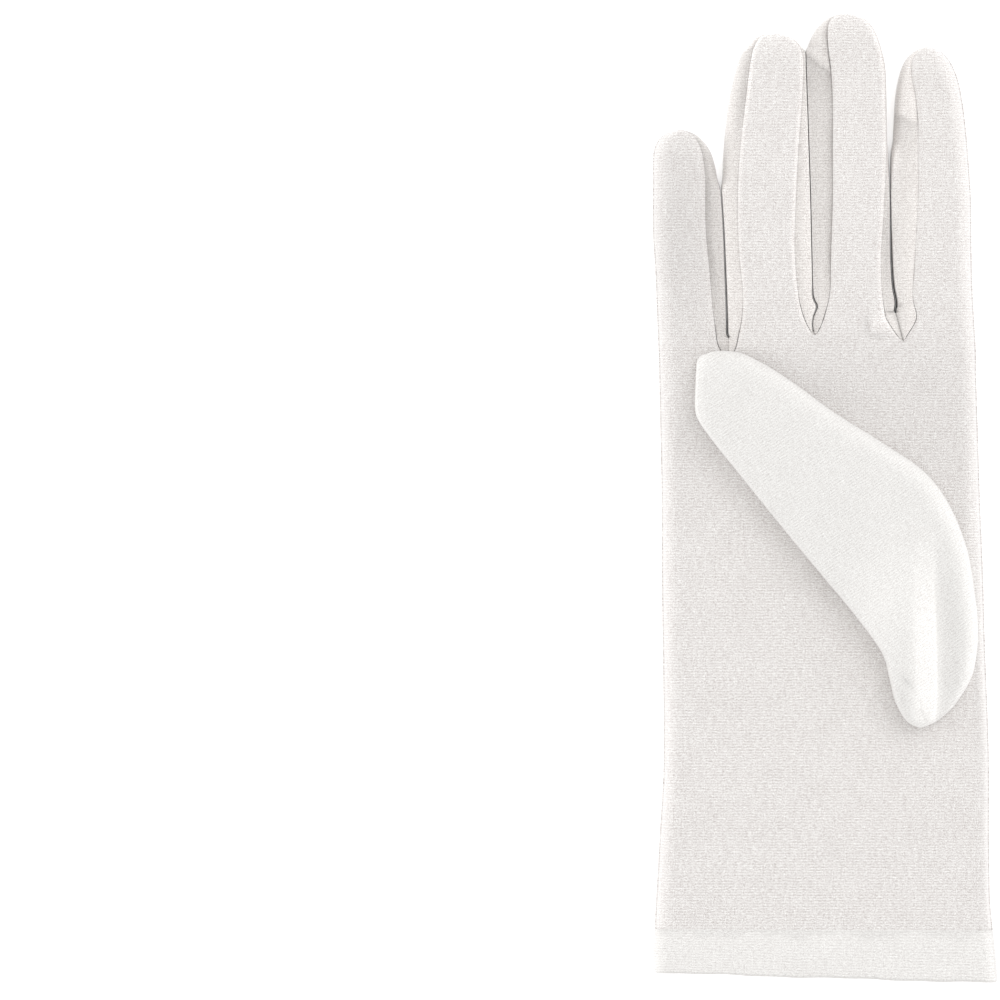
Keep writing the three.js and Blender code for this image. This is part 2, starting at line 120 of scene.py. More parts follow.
INDEX_ROWS = (
    (-0.09, -0.510, -0.34, 0.36, 0.520),
    (0.01, -0.518, -0.42, 0.34, 0.507),
    (0.09, -0.533, -0.32, 0.32, 0.487),
    (0.19, -0.566, -0.33, 0.30, 0.467),
    (0.31, -0.592, -0.30, 0.30, 0.454),
    (0.49, -0.605, -0.26, 0.29, 0.447),
    (0.64, -0.605, -0.26, 0.26, 0.408),
    (0.69, -0.588, -0.26, 0.24, 0.392),
    (0.75, -0.577, -0.26, 0.22, 0.368),
    (0.83, -0.556, -0.29, 0.18, 0.325),
    (0.90, -0.508, -0.34, 0.13, 0.262),
    (0.95, -0.435, -0.34, 0.06, 0.170),
    (0.98, -0.330, -0.26, -0.03, 0.065),
    (1.00, -0.210, -0.17, -0.10, -0.060),
)
FINGER_TABLES = (LITTLE_ROWS, RING_ROWS, MIDDLE_ROWS, INDEX_ROWS)
LEFT, SEAM_LEFT, SEAM_RIGHT, RIGHT = 1, 2, 3, 4

# Each row of the hand: a share of its length from the mouth up, how far it
# flares towards the cuff's width, how far its middle leans as a share of the
# hand's width, its share of the palm's height, and of the mouth's slant.
HAND_ROWS = (
    (0.00, 1.00, 0.029, 0.96, 1.0),
    (0.04, 0.93, 0.024, 0.98, 0.5),
    (0.08, 0.80, 0.022, 0.98, 0.1),
    (0.12, 0.67, 0.020, 0.98, 0.0),
    (0.17, 0.57, 0.022, 0.98, 0.0),
    (0.24, 0.46, 0.025, 1.00, 0.0),
    (0.32, 0.35, 0.030, 1.00, 0.0),
    (0.40, 0.29, 0.029, 1.00, 0.0),
    (0.52, 0.21, 0.023, 1.00, 0.0),
    (0.64, 0.17, 0.018, 1.00, 0.0),
    (0.76, 0.06, 0.013, 1.00, 0.0),
    (0.86, 0.03, 0.008, 0.99, 0.0),
    (0.94, 0.01, 0.004, 0.97, 0.0),
    (1.00, 0.00, 0.001, 0.93, 0.0),
)

# Each row of the thumb: a share of its length from its base, its left and
# right edge as shares of its width from its base point, and its share of the
# thumb's height.
THUMB_ROWS = (
    (0.00, 0.03, 0.17, 0.45),
    (0.01, -0.03, 0.265, 0.72),
    (0.04, -0.08, 0.45, 0.94),
    (0.09, -0.07, 0.595, 1.00),
    (0.14, -0.02, 0.695, 1.00),
    (0.20, 0.035, 0.785, 1.00),
    (0.30, 0.025, 0.91, 1.00),
    (0.41, -0.01, 0.97, 1.00),
    (0.50, -0.04, 0.945, 1.00),
    (0.61, -0.073, 0.812, 1.00),
    (0.72, -0.103, 0.665, 0.98),
    (0.82, -0.13, 0.555, 0.95),
    (0.885, -0.132, 0.473, 0.92),
    (0.92, -0.083, 0.42, 0.88),
    (0.955, -0.01, 0.355, 0.80),
    (0.985, 0.055, 0.25, 0.66),
    (1.00, 0.085, 0.15, 0.40),
)

# Where two fingers part, from the little finger's side. Aside: how far from the
# middle of the gap. Apex: the height at which the palm's seams meet. Bottom:
# the height at which the gap opens. Crease: how much painted shade darkens the
# crease between those two. Sides: the length over which the left and the right
# seam part, with the roundness and the bluntness of each.
Crotch = namedtuple("Crotch", "aside apex bottom crease sides")
CROTCHES = (
    Crotch(0.15 * MM, -2.6 * MM, 2.3 * MM, 0.03, ((5.0 * MM, 2.0, 0.8), (5.0 * MM, 2.0, 0.8))),
    Crotch(0.30 * MM, 3.3 * MM, 3.7 * MM, 0.10, ((9.0 * MM, 2.2, 0.55), (9.5 * MM, 3.0, 0.55))),
    Crotch(1.00 * MM, 1.75 * MM, 8.6 * MM, 0.42, ((6.0 * MM, 1.15, 0.65), (4.8 * MM, 3.4, 0.5))),
)

# The tables from here to the laps are in millimetres.

# Each gap between two fingers: a height over the finger line, half its width
# there, and how far the cloth beside it rolls over.
GAP_OPEN = (
    ((2.3, 0.25, 0.18), (9, 0.16, 0.16), (42, 0.06, 0.16)),
    (
        (3.7, 0.06, 0.20),
        (7.5, 0.07, 0.20),
        (11, 0.16, 0.24),
        (17, 0.02, 0.12),
        (38, 0.01, 0.05),
    ),
    ((8.6, 0.30, 0.26), (22, 0.20, 0.20), (42, 0.02, 0.12)),
)

# How much painted shade darkens the back at the bottom of each gap.
GAP_SHADE = (0.45, 0.0, 0.75)

# Bends in the gap lines: which gap, how high, how far it reaches and how far
# it goes to the side.
GAP_BENDS = (
    (0, 2.5, 0.8, 0.35),
    (1, 10.3, 1.6, 1.0),
    (1, 6.0, 1.5, -0.25),
    (2, 12.0, 2.2, 0.35),
    (2, 9.3, 0.7, -0.25),
)

# Bends in the seams beside the fourchettes: which gap, which side, how high,
# how far it reaches and how far it goes to the side.
SEAM_BENDS = ((2, 1, 8.0, 2.6, 0.75),)

# Soft dents and swellings of the palm: across, along, reach across, reach
# along, turn in degrees and rise.
PALM_RELIEF = (
    (15.9, 6.2, 2.2, 2.6, 0.0, 0.45),
    (12.4, 5.7, 1.1, 2.6, 0.0, -0.55),
    (15.0, 2.7, 2.8, 1.0, -5.0, -0.5),
    (-22.3, -5.0, 3.5, 5.0, 0.0, -0.35),
)

# Painted light and shade on the palm, patches paler or darker for how its
# slopes take the light, with a painted shadow along the thumb's right edge:
# across, along, reach across, reach along, turn in degrees and tone.
PALM_PAINTED_SHADING = (
    (-34.0, 28.0, 9.0, 26.0, 0.0, -0.11),
    (4.0, -8.0, 30.0, 11.0, 0.0, -0.06),
    (30.0, -20.0, 14.0, 18.0, 0.0, -0.04),
    (-34.0, -22.0, 12.0, 18.0, 0.0, -0.03),
    (6.0, 50.0, 30.0, 30.0, 0.0, 0.03),
    (16.0, 6.6, 2.2, 3.2, 0.0, 0.13),
    (12.3, 5.6, 0.9, 2.4, 0.0, -0.11),
    (15.0, 2.7, 2.6, 0.8, -5.0, -0.12),
    (39.7, -74.0, 0.8, 19.0, 0.0, -0.12),
)

# Painted light and shade on the thumb, paler beside its ridge and darker in
# the small creases at its base, as above.
THUMB_PAINTED_SHADING = (
    (16.5, -63.0, 8.0, 15.0, -12.0, 0.07),
    (22.0, -90.5, 1.8, 4.0, 10.0, -0.05),
    (22.2, -83.4, 2.0, 0.3, -45.0, -0.12),
    (26.3, -91.5, 0.35, 2.4, 20.0, -0.10),
)

# Painted light and shade on the fourchettes, in patches paler or darker: which
# one, then as above.
FOURCHETTE_PAINTED_SHADING = (
    (0, (-23.9, 1.6, 1.3, 1.6, 0.0, 0.10)),
    (0, (-18.6, 62.0, 1.2, 10.0, -8.0, -0.12)),
    (1, (2.0, 11.0, 2.0, 10.0, 0.0, 0.09)),
    (2, (17.6, 26.0, 1.1, 13.0, 0.0, -0.12)),
    (2, (19.6, 50.5, 0.9, 8.0, 0.0, 0.18)),
    (2, (18.3, 9.0, 0.9, 0.3, 0.0, -0.40)),
    (2, (20.6, 10.6, 0.9, 0.5, 0.0, -0.30)),
    (2, (18.9, 5.8, 1.2, 2.6, 30.0, 0.12)),
)

# Folds at the thumb's base, from its base point: across, up, reach across,
# reach up, turn in degrees and rise.
THUMB_FOLDS = (
    (-5.4, 7.5, 2.2, 4.0, 12.0, -0.7),
    (-4.8, 11.8, 0.5, 2.0, 45.0, 0.6),
    (-1.0, 4.0, 0.5, 2.2, 20.0, -0.35),
    (0.6, 3.6, 1.6, 3.0, 0.0, 0.45),
)

# The ridge and the crease right of it, across from the thumb's base point: how
# far the cloth stands over its flat, and up: how much of that is there.
RIDGE_ACROSS = (
    (-6.0, 0.0),
    (-3.6, 0.20),
    (-2.0, 0.65),
    (1.4, 0.85),
    (2.2, 0.65),
    (2.8, -0.50),
    (3.8, -1.05),
    (6.0, -0.95),
    (8.0, -0.40),
    (9.6, 0.0),
)
RIDGE_UP = (
    (-1.0, 0.5),
    (3.0, 0.9),
    (10.0, 1.0),
    (24.0, 1.0),
    (34.0, 0.7),
    (42.0, 0.3),
    (52.0, 0.0),
)

# Laps at the ends of fourchettes: which fourchette, which of its legs, the
# lap's two ends, how far the upper cloth stands proud, and how far its painted
# shadow reaches down.
FOURCHETTE_LAPS = (
    (1, 1, (-2.4, 73.4), (3.6, 68.6), 0.6, 6),
    (2, 1, (19.4, 58.6), (24.4, 56.4), 0.6, 9),
    (0, 1, (-19.6, 73.6), (-15.5, 75.6), 0.5, 14),
)

# The left and right leg of each fourchette. Tones: the painted light and shade
# at the seam, halfway and beside the gap. Dip: how far it sinks at the seam.
# Rim: the painted highlight on the palm's rolled edge beside it.
Leg = namedtuple("Leg", "tones dip rim")
LEGS = (
    (Leg((-0.13, -0.14, -0.10), 0.5 * MM, 0.02), Leg((0.03, 0.06, 0.09), 0.1 * MM, 0.15)),
    (Leg((0.03, 0.08, 0.13), 0.1 * MM, 0.15), Leg((-0.10, -0.07, -0.11), 0.45 * MM, 0.02)),
    (Leg((0.00, 0.00, -0.04), 0.1 * MM, 0.14), Leg((0.13, 0.04, -0.02), 0.0, 0.00)),
)

# Points lie closer together near the finger line, between these two heights.
CLOSE_FROM, CLOSE_TO = -8 * MM, 4 * MM
HAND_STEP, CLOSE_STEP, FINGER_STEP = 0.95 * MM, 0.4 * MM, 0.85 * MM
WEB_STEP, THUMB_STEP = 0.25 * MM, 0.8 * MM
PALM_COLUMNS, BACK_COLUMNS, LEG_COLUMNS = 33, 25, 21
THUMB_COLUMNS = 65, 21  # over and under
HEM_COLUMNS = 131, 91

SAME_POINT = 0.004 * MM  # points this near one another are one
SHARP = math.radians(50)  # an edge that turns more than this isn't smoothed

FINGER_GAP = 0.5 * MM  # between two fingers at the finger line
SNUG_EDGE = 0.04 * MM  # from the middle of a closed gap to the back's edge
GAP_ROUND = 1.5 * MM  # length over which a gap opens from its bottom
FREE_ROLL = 2.4 * MM  # a fourchette's roll where its fingers part
TIP_ROUND = 7.0 * MM  # length over which the top of a finger's tip falls
TIP_CLOSE = 1.3 * MM  # length over which its two edges close
RIM_ROLL = 3.8 * MM  # roll of the palm at the glove's two sides
RIM_SHOW = 0.35 * MM  # how far the back shows beyond it there
SEAM_ROLL = 1.3 * MM  # roll of the palm beside a fourchette
SEAM_DEPTH = 0.85 * MM  # how far it falls there
SEAM_SHOW = 0.65 * MM  # how far below the palm a fourchette starts
WEB_HEIGHT = 5.4 * MM  # of a fourchette's web over the table
CORNER = 2.2 * MM  # roll of the back's edges
CROWN = 0.16  # how much of its height a panel loses towards its edges
PIECE_GAP = 0.1 * MM  # between one piece and the next
SEAM_GAP = 0.03 * MM  # between a fourchette and the palm beside it
THUMB_GAP = 0.3 * MM  # between the thumb and the palm
THUMB_CROWN = 0.14  # the same for the thumb
THUMB_RIM = 1.3 * MM  # height of the thumb's seam over its underside
THUMB_BASE = (27.0 * MM, -95.2 * MM)  # across and along
THUMB_HOLE = (8.0 * MM, 21.0 * MM, 29.0 * MM)  # half width, half length, how far up


def length_property(name, description, size):
    """A size of the glove, given in millimetres."""
    return FloatProperty(name=name, description=description, default=size * MM, unit="LENGTH")


def four_lengths(name, description, *sizes):
    """One size for each finger, given in millimetres."""
    default = [size * MM for size in sizes]
    return FloatVectorProperty(
        name=name, description=description, size=4, default=default, unit="LENGTH"
    )


def colour_property(name, description, *colour):
    """A colour of the glove or of its table."""
    return FloatVectorProperty(
        name=name, description=description, size=3, default=colour, subtype="COLOR"
    )


class GloveSizes(bpy.types.PropertyGroup):
    """Sizes of the glove as it lies."""

    wall: length_property("Cloth wall", "Thickness of the cloth", 0.9)
    palm_height: length_property("Palm height", "Height of the palm over the table", 8.0)
    finger_height: length_property("Finger height", "Height of the fingers over the table", 7.4)
    seam_height: length_property("Seam height", "Height at which palm and back meet", 1.3)
    body_length: length_property("Hand length", "From the finger line to the mouth", 157.5)
    cuff_width: length_property("Cuff width", "Width at the mouth", 85.9)
    cuff_slant: length_property("Cuff slant", "How much lower the right end of the mouth is", 2.6)
    hem_depth: length_property("Hem depth", "Depth of the turned hem", 12.0)
    finger_widths: four_lengths(
        "Finger widths", "Little, ring, middle and index finger", 17.0, 21.0, 20.9, 19.0
    )
    finger_lengths: four_lengths(
        "Finger lengths", "The same four, from the finger line", 54.8, 78.9, 83.9, 75.5
    )
    thumb_length: length_property("Thumb length", "From its base to its tip", 108.7)
    thumb_width: length_property("Thumb width", "Width that its rows are shares of", 37.0)
    thumb_height: length_property("Thumb height", "Height of the thumb over the palm", 7.4)
    thumb_turn: FloatProperty(
        name="Thumb turn",
        description="How far the thumb leans towards the little finger",
        default=math.radians(33.4),
        subtype="ANGLE",
    )
    stitch_spacing: length_property("Stitch spacing", "From one stitch to the next", 2.2)
    stitch_length: length_property("Stitch length", "Length of one stitch", 1.2)
    thread: length_property("Thread", "Thickness of the sewing thread", 0.22)


class GloveColours(bpy.types.PropertyGroup):
    """Colours of the glove's cloth and of the table."""

    palm: colour_property("Palm and back", "Knitted cloth", 0.693, 0.667, 0.655)
    fourchette: colour_property("Fourchettes", "Strips between fingers", 0.677, 0.663, 0.644)
    # The thumb's colour is paler than the palm's, partly for the nap of its cloth and partly as
    # painted light.
    thumb: colour_property("Thumb", "Cloth of the thumb", 0.706, 0.705, 0.69)
    hem: colour_property("Hem", "Doubled cloth at the mouth", 0.722, 0.72, 0.705)
    thread: colour_property("Thread", "Sewing thread", 0.82, 0.81, 0.79)
    table: colour_property("Table", "Plain table it lies on", 0.96, 0.96, 0.96)


def smooth(table, steps=10):
    """Rows between the rows of a table, each column on one smooth curve."""
    rows = np.array(table)
    last = len(rows) - 1
    result = []
    for index in range(last):
        before = rows[max(index - 1, 0)]
        start, end = rows[index], rows[index + 1]
        after = rows[min(index + 2, last)]
        leave = (end - before) / 2
        arrive = (after - start) / 2
        for t in np.arange(steps) / steps:
            cubic = 2 * (start - end) + leave + arrive
            square = 3 * (end - start) - 2 * leave - arrive
            result.append(((cubic * t + square) * t + leave) * t + start)
    result.append(rows[-1])
    return np.array(result)


def ease(share):
    """0 below 0, 1 above 1 and a soft rise between."""
    share = np.clip(share, 0, 1)
    return share * share * (3 - 2 * share)


def roll(distance, reach):
    """The rise of a quarter round over a distance from its foot."""
    share = np.clip(distance / reach, 0, 1)
    return np.sqrt(1 - (1 - share) ** 2)


def rising(value, start, reach):
    """0 up to a start and 1 from a reach beyond it, both in millimetres."""
    return ease((value / MM - start) / reach)


def fading(distance, reach):
    """1 at no distance, and less and less over a reach in millimetres."""
    return np.exp(-distance / (reach * MM))


def band(distance, middle, reach):
    """1 at a middle and less to both sides over a reach, both in millimetres."""
    return np.exp(-(((distance / MM - middle) / reach) ** 2))


def crowned(x, left, right, fall=CROWN):
    """1 in the middle between two edges, and less by a share at the edges."""
    share = np.clip((x - left) / np.maximum(right - left, 1e-9), 0, 1)
    return 1 - fall + fall * np.sin(np.pi * share)


def bumps(x, y, rows):
    """The sum of soft round bumps at points in the plane, as their table says."""
    total = np.zeros_like(x)
    for across, along, wide, long, turn, rise in rows:
        angle = math.radians(turn)
        right, up = x / MM - across, y / MM - along
        u = right * math.cos(angle) + up * math.sin(angle)
        v = up * math.cos(angle) - right * math.sin(angle)
        total += rise * np.exp(-((u / wide) ** 2) - (v / long) ** 2)
    return total


def slack(x, y):
    """The faint unevenness of cloth that lies loose, as a few long waves."""
    total = np.zeros_like(x)
    for height, length, turn, start in (
        (0.09, 38, 17, 0.4),
        (0.07, 23, 112, 1.9),
        (0.05, 13, 64, 4.1),
        (0.03, 7.5, 151, 2.7),
    ):
        angle = math.radians(turn)
        away = (x * math.cos(angle) + y * math.sin(angle)) / MM
        total += height * MM * np.sin(2 * math.pi * away / length + start)
    return total


class Finger:
    """One finger's edges and seams along its length."""

    def __init__(self, table, width, length, middle):
        self.rows = smooth(table)
        self.width = width
        self.length = length
        self.middle = middle

    def edge(self, y, column):
        """Where one of the finger's lines is at a height over the finger line."""
        x = np.interp(y / self.length, self.rows[:, 0], self.rows[:, column]) * self.width
        tip = self.rows[-1]
        centre = (tip[LEFT] + tip[RIGHT]) / 2 * self.width
        past = np.clip((y - self.length + TIP_CLOSE) / TIP_CLOSE, 0, 1)
        return self.middle + centre + (x - centre) * np.sqrt(1 - past**2)

    def fullness(self, y):
        """1 along the finger, down to 0 at its tip."""
        return roll(self.length - y, TIP_ROUND)


class Hand:
    """The lines and heights that the glove's pieces share."""

    def __init__(self, sizes):
        self.sizes = sizes
        self.seam = sizes.seam_height
        self.width = sum(sizes.finger_widths) + 3 * FINGER_GAP
        self.fingers = []
        edge = -self.width / 2
        for table, width, length in zip(FINGER_TABLES, sizes.finger_widths, sizes.finger_lengths):
            self.fingers.append(Finger(table, width, length, edge + width / 2))
            edge += width + FINGER_GAP
        self.gaps = [f.middle + f.width / 2 + FINGER_GAP / 2 for f in self.fingers[:3]]
        self.rows = smooth(HAND_ROWS)
        self.hem_top = sizes.hem_depth - sizes.body_length
        reach = sizes.cuff_width / 2 + HAND_ROWS[0][2] * self.width
        self.place = np.array([cad_high.x - reach, cad_high.y - sizes.finger_lengths[2], cad_low.z])

    def column(self, y, index):
        """One column of the hand's rows at a height over the finger line."""
        return np.interp(1 + y / self.sizes.body_length, self.rows[:, 0], self.rows[:, index])

    def sides(self, y):
        """The hand's left and right edge."""
        half = (self.width + (self.sizes.cuff_width - self.width) * self.column(y, 1)) / 2
        middle = self.column(y, 2) * self.width
        return middle - half, middle + half

    def outer(self, y, side):
        """The outline's edge at the little finger's side, or the index's."""
        finger = self.fingers[-1 if side else 0]
        own = finger.edge(y, RIGHT if side else LEFT)
        lower = self.sides(y)[side]
        return lower + (own - lower) * rising(y, -7, 6)

    def slanted(self, x, y):
        """Lowers the right end of the mouth."""
        return y - self.column(y, 4) * self.sizes.cuff_slant * x / self.sizes.cuff_width

    def between(self, crotch, y):
        """The line down the palm from a crotch."""
        left, right = self.sides(y)
        aside = CROTCHES[crotch].aside
        return (left + right) / 2 + (self.gaps[crotch] + aside) * (right - left) / self.width

    def seam_line(self, crotch, side, y):
        """The palm's seam beside a fourchette, on its left or right finger."""
        apex = CROTCHES[crotch].apex
        length, roundness, blunt = CROTCHES[crotch].sides[side]
        own = self.fingers[crotch + side].edge(y, SEAM_LEFT if side else SEAM_RIGHT)
        start = self.between(crotch, apex)
        opening = (1 - (1 - np.clip((y - apex) / length, 0, 1)) ** roundness) ** blunt
        for which, where, height, reach, aside in SEAM_BENDS:
            if (which, where) == (crotch, side):
                own = own + aside * MM * band(y, height, reach)
        return np.where(y <= apex, self.between(crotch, y), start + (own - start) * opening)

    def free_edge(self, crotch, side, y, under=False):
        """A finger's edge beside the gap, or the middle of the web below it.

        Under the gap the edges of the back lie closer together.
        """
        apex, bottom = CROTCHES[crotch].apex, CROTCHES[crotch].bottom
        fingers = self.fingers[crotch], self.fingers[crotch + 1]
        bend = np.zeros_like(y)
        for which, height, reach, aside in GAP_BENDS:
            if which == crotch:
                bend += aside * MM * band(y, height, reach)

        def edges(at, shift):
            return fingers[0].edge(at, RIGHT) + shift, fingers[1].edge(at, LEFT) + shift

        start = self.between(crotch, apex)
        foot = sum(edges(np.array([bottom]), np.interp(bottom, y, bend))) / 2
        web = start + (foot - start) * np.clip((y - apex) / (bottom - apex), 0, 1)
        both = edges(y, bend)
        centre = (both[0] + both[1]) / 2
        half = (both[1] - both[0]) / 2
        loose = self.parted(crotch, y)
        snug = SNUG_EDGE if under else self.gap_row(crotch, y, 1)
        half = snug * (1 - loose) + half * loose
        opening = np.sqrt(np.clip((y - bottom) / GAP_ROUND, 0, 1))
        apart = centre + (half if side else -half) * opening
        return np.where(y <= apex, self.between(crotch, y), np.where(y <= bottom, web, apart))

    def gap_row(self, crotch, y, index):
        """One of a gap's measures at a height over the finger line."""
        rows = np.array(GAP_OPEN[crotch]) * MM
        return np.interp(y, rows[:, 0], rows[:, index])

    def parted(self, crotch, y):
        """0 where two fingers lie against one another and 1 where they part."""
        gap = self.fingers[crotch + 1].edge(y, LEFT) - self.fingers[crotch].edge(y, RIGHT)
        return rising(gap, 0.7, 0.6)

    def as_hand(self, y):
        """0 where the palm is shaped by the fingers and 1 down the hand."""
        return 1 - rising(y, -12, 14)

    def palm_over(self, x, y):
        """The palm's height where only the hand's own shape counts."""
        left, right = self.outer(y, 0), self.outer(y, 1)
        top = self.sizes.palm_height * self.column(y, 3)
        rims = roll(x - left - RIM_SHOW, RIM_ROLL) * roll(right - x - RIM_SHOW, RIM_ROLL)
        return self.seam + (top - self.seam) * rims * crowned(x, left, right)


def grid(rows, columns, closed=False):
    """Quads between rows of points, each row going the same way."""
    count = columns if closed else columns - 1
    row, column = np.meshgrid(np.arange(rows - 1), np.arange(count), indexing="ij")
    following = (column + 1) % columns
    corners = (
        row * columns + column,
        row * columns + following,
        (row + 1) * columns + following,
        (row + 1) * columns + column,
    )
    return np.stack(corners, axis=-1).reshape(-1, 4)


class Cloth:
    """Gathers grids of points, with the cloth's own directions and its tone of painted light and
    shade.
    """

    def __init__(self):
        self.points = []
        self.weave = []
        self.tones = []
        self.faces = []
        self.count = 0

    def add(self, x, y, z, weave, tone, closed=False, flipped=False, keep=None):
        """Gathers one grid, closed round its rows or not, and some of its faces."""
        rows, columns = x.shape
        faces = grid(rows, columns, closed)
        if flipped:
            faces = faces[:, ::-1]
        points = np.stack([x, y, z], axis=-1).reshape(-1, 3)
        if keep is not None:
            faces = faces[keep(points[faces].mean(axis=1))]
        self.points.append(points)
        self.weave.append(weave.reshape(-1, 2))
        self.tones.append(tone.reshape(-1))
        self.faces.append(faces + self.count)
        self.count += len(points)

    def piece(self, name, place):
        """The gathered grids as one mesh object, with its doubles merged."""
        points = np.concatenate(self.points) + place
        weave = np.concatenate(self.weave)
        faces = np.concatenate(self.faces)
        mesh = bpy.data.meshes.new(name)
        mesh.from_pydata(points.tolist(), [], faces.tolist())
        layer = mesh.uv_layers.new(name="weave")
        layer.data.foreach_set("uv", weave[faces.reshape(-1)].astype(np.float32).reshape(-1))
        tones = mesh.attributes.new("tone", "FLOAT", "POINT")
        tones.data.foreach_set("value", np.concatenate(self.tones).astype(np.float32))
        shape = bmesh.new()
        shape.from_mesh(mesh)
        bmesh.ops.remove_doubles(shape, verts=shape.verts, dist=SAME_POINT)
        bmesh.ops.dissolve_degenerate(shape, dist=SAME_POINT / 2, edges=shape.edges)
        shape.to_mesh(mesh)
        shape.free()
        piece = bpy.data.objects.new(name, mesh)
        bpy.context.scene.collection.objects.link(piece)
        return piece


def across_weave(x, z, y):
    """UV that runs along the cloth across each row: 1 is 10 mm."""
    step = np.hypot(np.diff(x, axis=1), np.diff(z, axis=1))
    length = np.concatenate([np.zeros((len(x), 1)), np.cumsum(step, axis=1)], axis=1)
    middle = x.shape[1] // 2
    u = length - length[:, middle : middle + 1] + x[:, middle : middle + 1]
    return np.stack([u, np.broadcast_to(y, u.shape)], axis=-1) / (10 * MM)


def spread(count, ends=0.4):
    """Shares from 0 to 1, closer together near both ends."""
    even = np.linspace(0, 1, count)
    return (1 - ends) * even + ends * (0.5 - 0.5 * np.cos(np.pi * even))


def round_shares(over, under, ends):
    """Shares from 0 to 1 over the top of a tube and back under it."""
    return np.concatenate([spread(over, ends), spread(under, ends)[1:-1][::-1]])[None, :]


def along_hand(low, high, step):
    """Even heights from one to another, about a step apart."""
    return np.linspace(low, high, max(2, int(round((high - low) / step)) + 1))


def flatten(piece):
    """Leaves a piece's modifiers applied in a plain mesh."""
    depsgraph = bpy.context.evaluated_depsgraph_get()
    mesh = bpy.data.meshes.new_from_object(
        piece.evaluated_get(depsgraph), preserve_all_data_layers=True, depsgraph=depsgraph
    )
    piece.modifiers.clear()
    piece.data = mesh
    return piece


def give_wall(piece, wall, material):
    """Thickens a piece inwards and smooths its faces."""
    if not piece.data.polygons:
        raise RuntimeError(f"{piece.name} has no faces")
    piece.data.materials.append(material)
    thick = piece.modifiers.new("wall", "SOLIDIFY")
    thick.thickness = wall
    thick.offset = -1
    flatten(piece)
    piece.data.polygons.foreach_set("use_smooth", [True] * len(piece.data.polygons))
    piece.data.set_sharp_from_angle(angle=SHARP)
    piece.data.update()


def dressed(cloth, hand, name, wall, material, node, slot, width, length):
    """Puts the gathered cloth in the place of its CAD node; the flat size it is given is not used.
    """
    piece = cloth.piece(name, hand.place)
    give_wall(piece, wall, material)
    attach(piece, "root")
    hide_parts(node)


def new_material(name, **inputs):
    """A material, its tree and its shader, with some of the shader's inputs set."""
    material = bpy.data.materials.new(name)
    material.use_nodes = True
    shader = material.node_tree.nodes["Principled BSDF"]
    for key, value in inputs.items():
        shader.inputs[key.replace("_", " ")].default_value = value
    return material, material.node_tree, shader


def new_node(tree, kind, **settings):
    """A new node with some of its inputs or options set."""
    made = tree.nodes.new(kind)
    for key, value in settings.items():
        if key in made.inputs:
            made.inputs[key].default_value = value
        else:
            setattr(made, key, value)
    return made


def wire(tree, *pairs):
    """Links outputs to inputs."""
    for output, entry in pairs:
        tree.links.new(output, entry)


def ramp(tree, dark_at, dark, light_at, light):
    """Colours from a dark one to a light one, between two values."""
    tint = new_node(tree, "ShaderNodeValToRGB")
    elements = tint.color_ramp.elements
    elements[0].position, elements[0].color = dark_at, (*dark, 1)
    elements[1].position, elements[1].color = light_at, (*light, 1)
    return tint


def weighed(tree, *parts):
    """One value from several, each with its share."""
    total = None
    for source, share in parts:
        part = new_node(tree, "ShaderNodeMath", operation="MULTIPLY")
        part.inputs[1].default_value = share
        wire(tree, (source, part.inputs[0]))
        if total is None:
            total = part.outputs[0]
        else:
            added = new_node(tree, "ShaderNodeMath", operation="ADD")
            wire(tree, (total, added.inputs[0]), (part.outputs[0], added.inputs[1]))
            total = added.outputs[0]
    return total


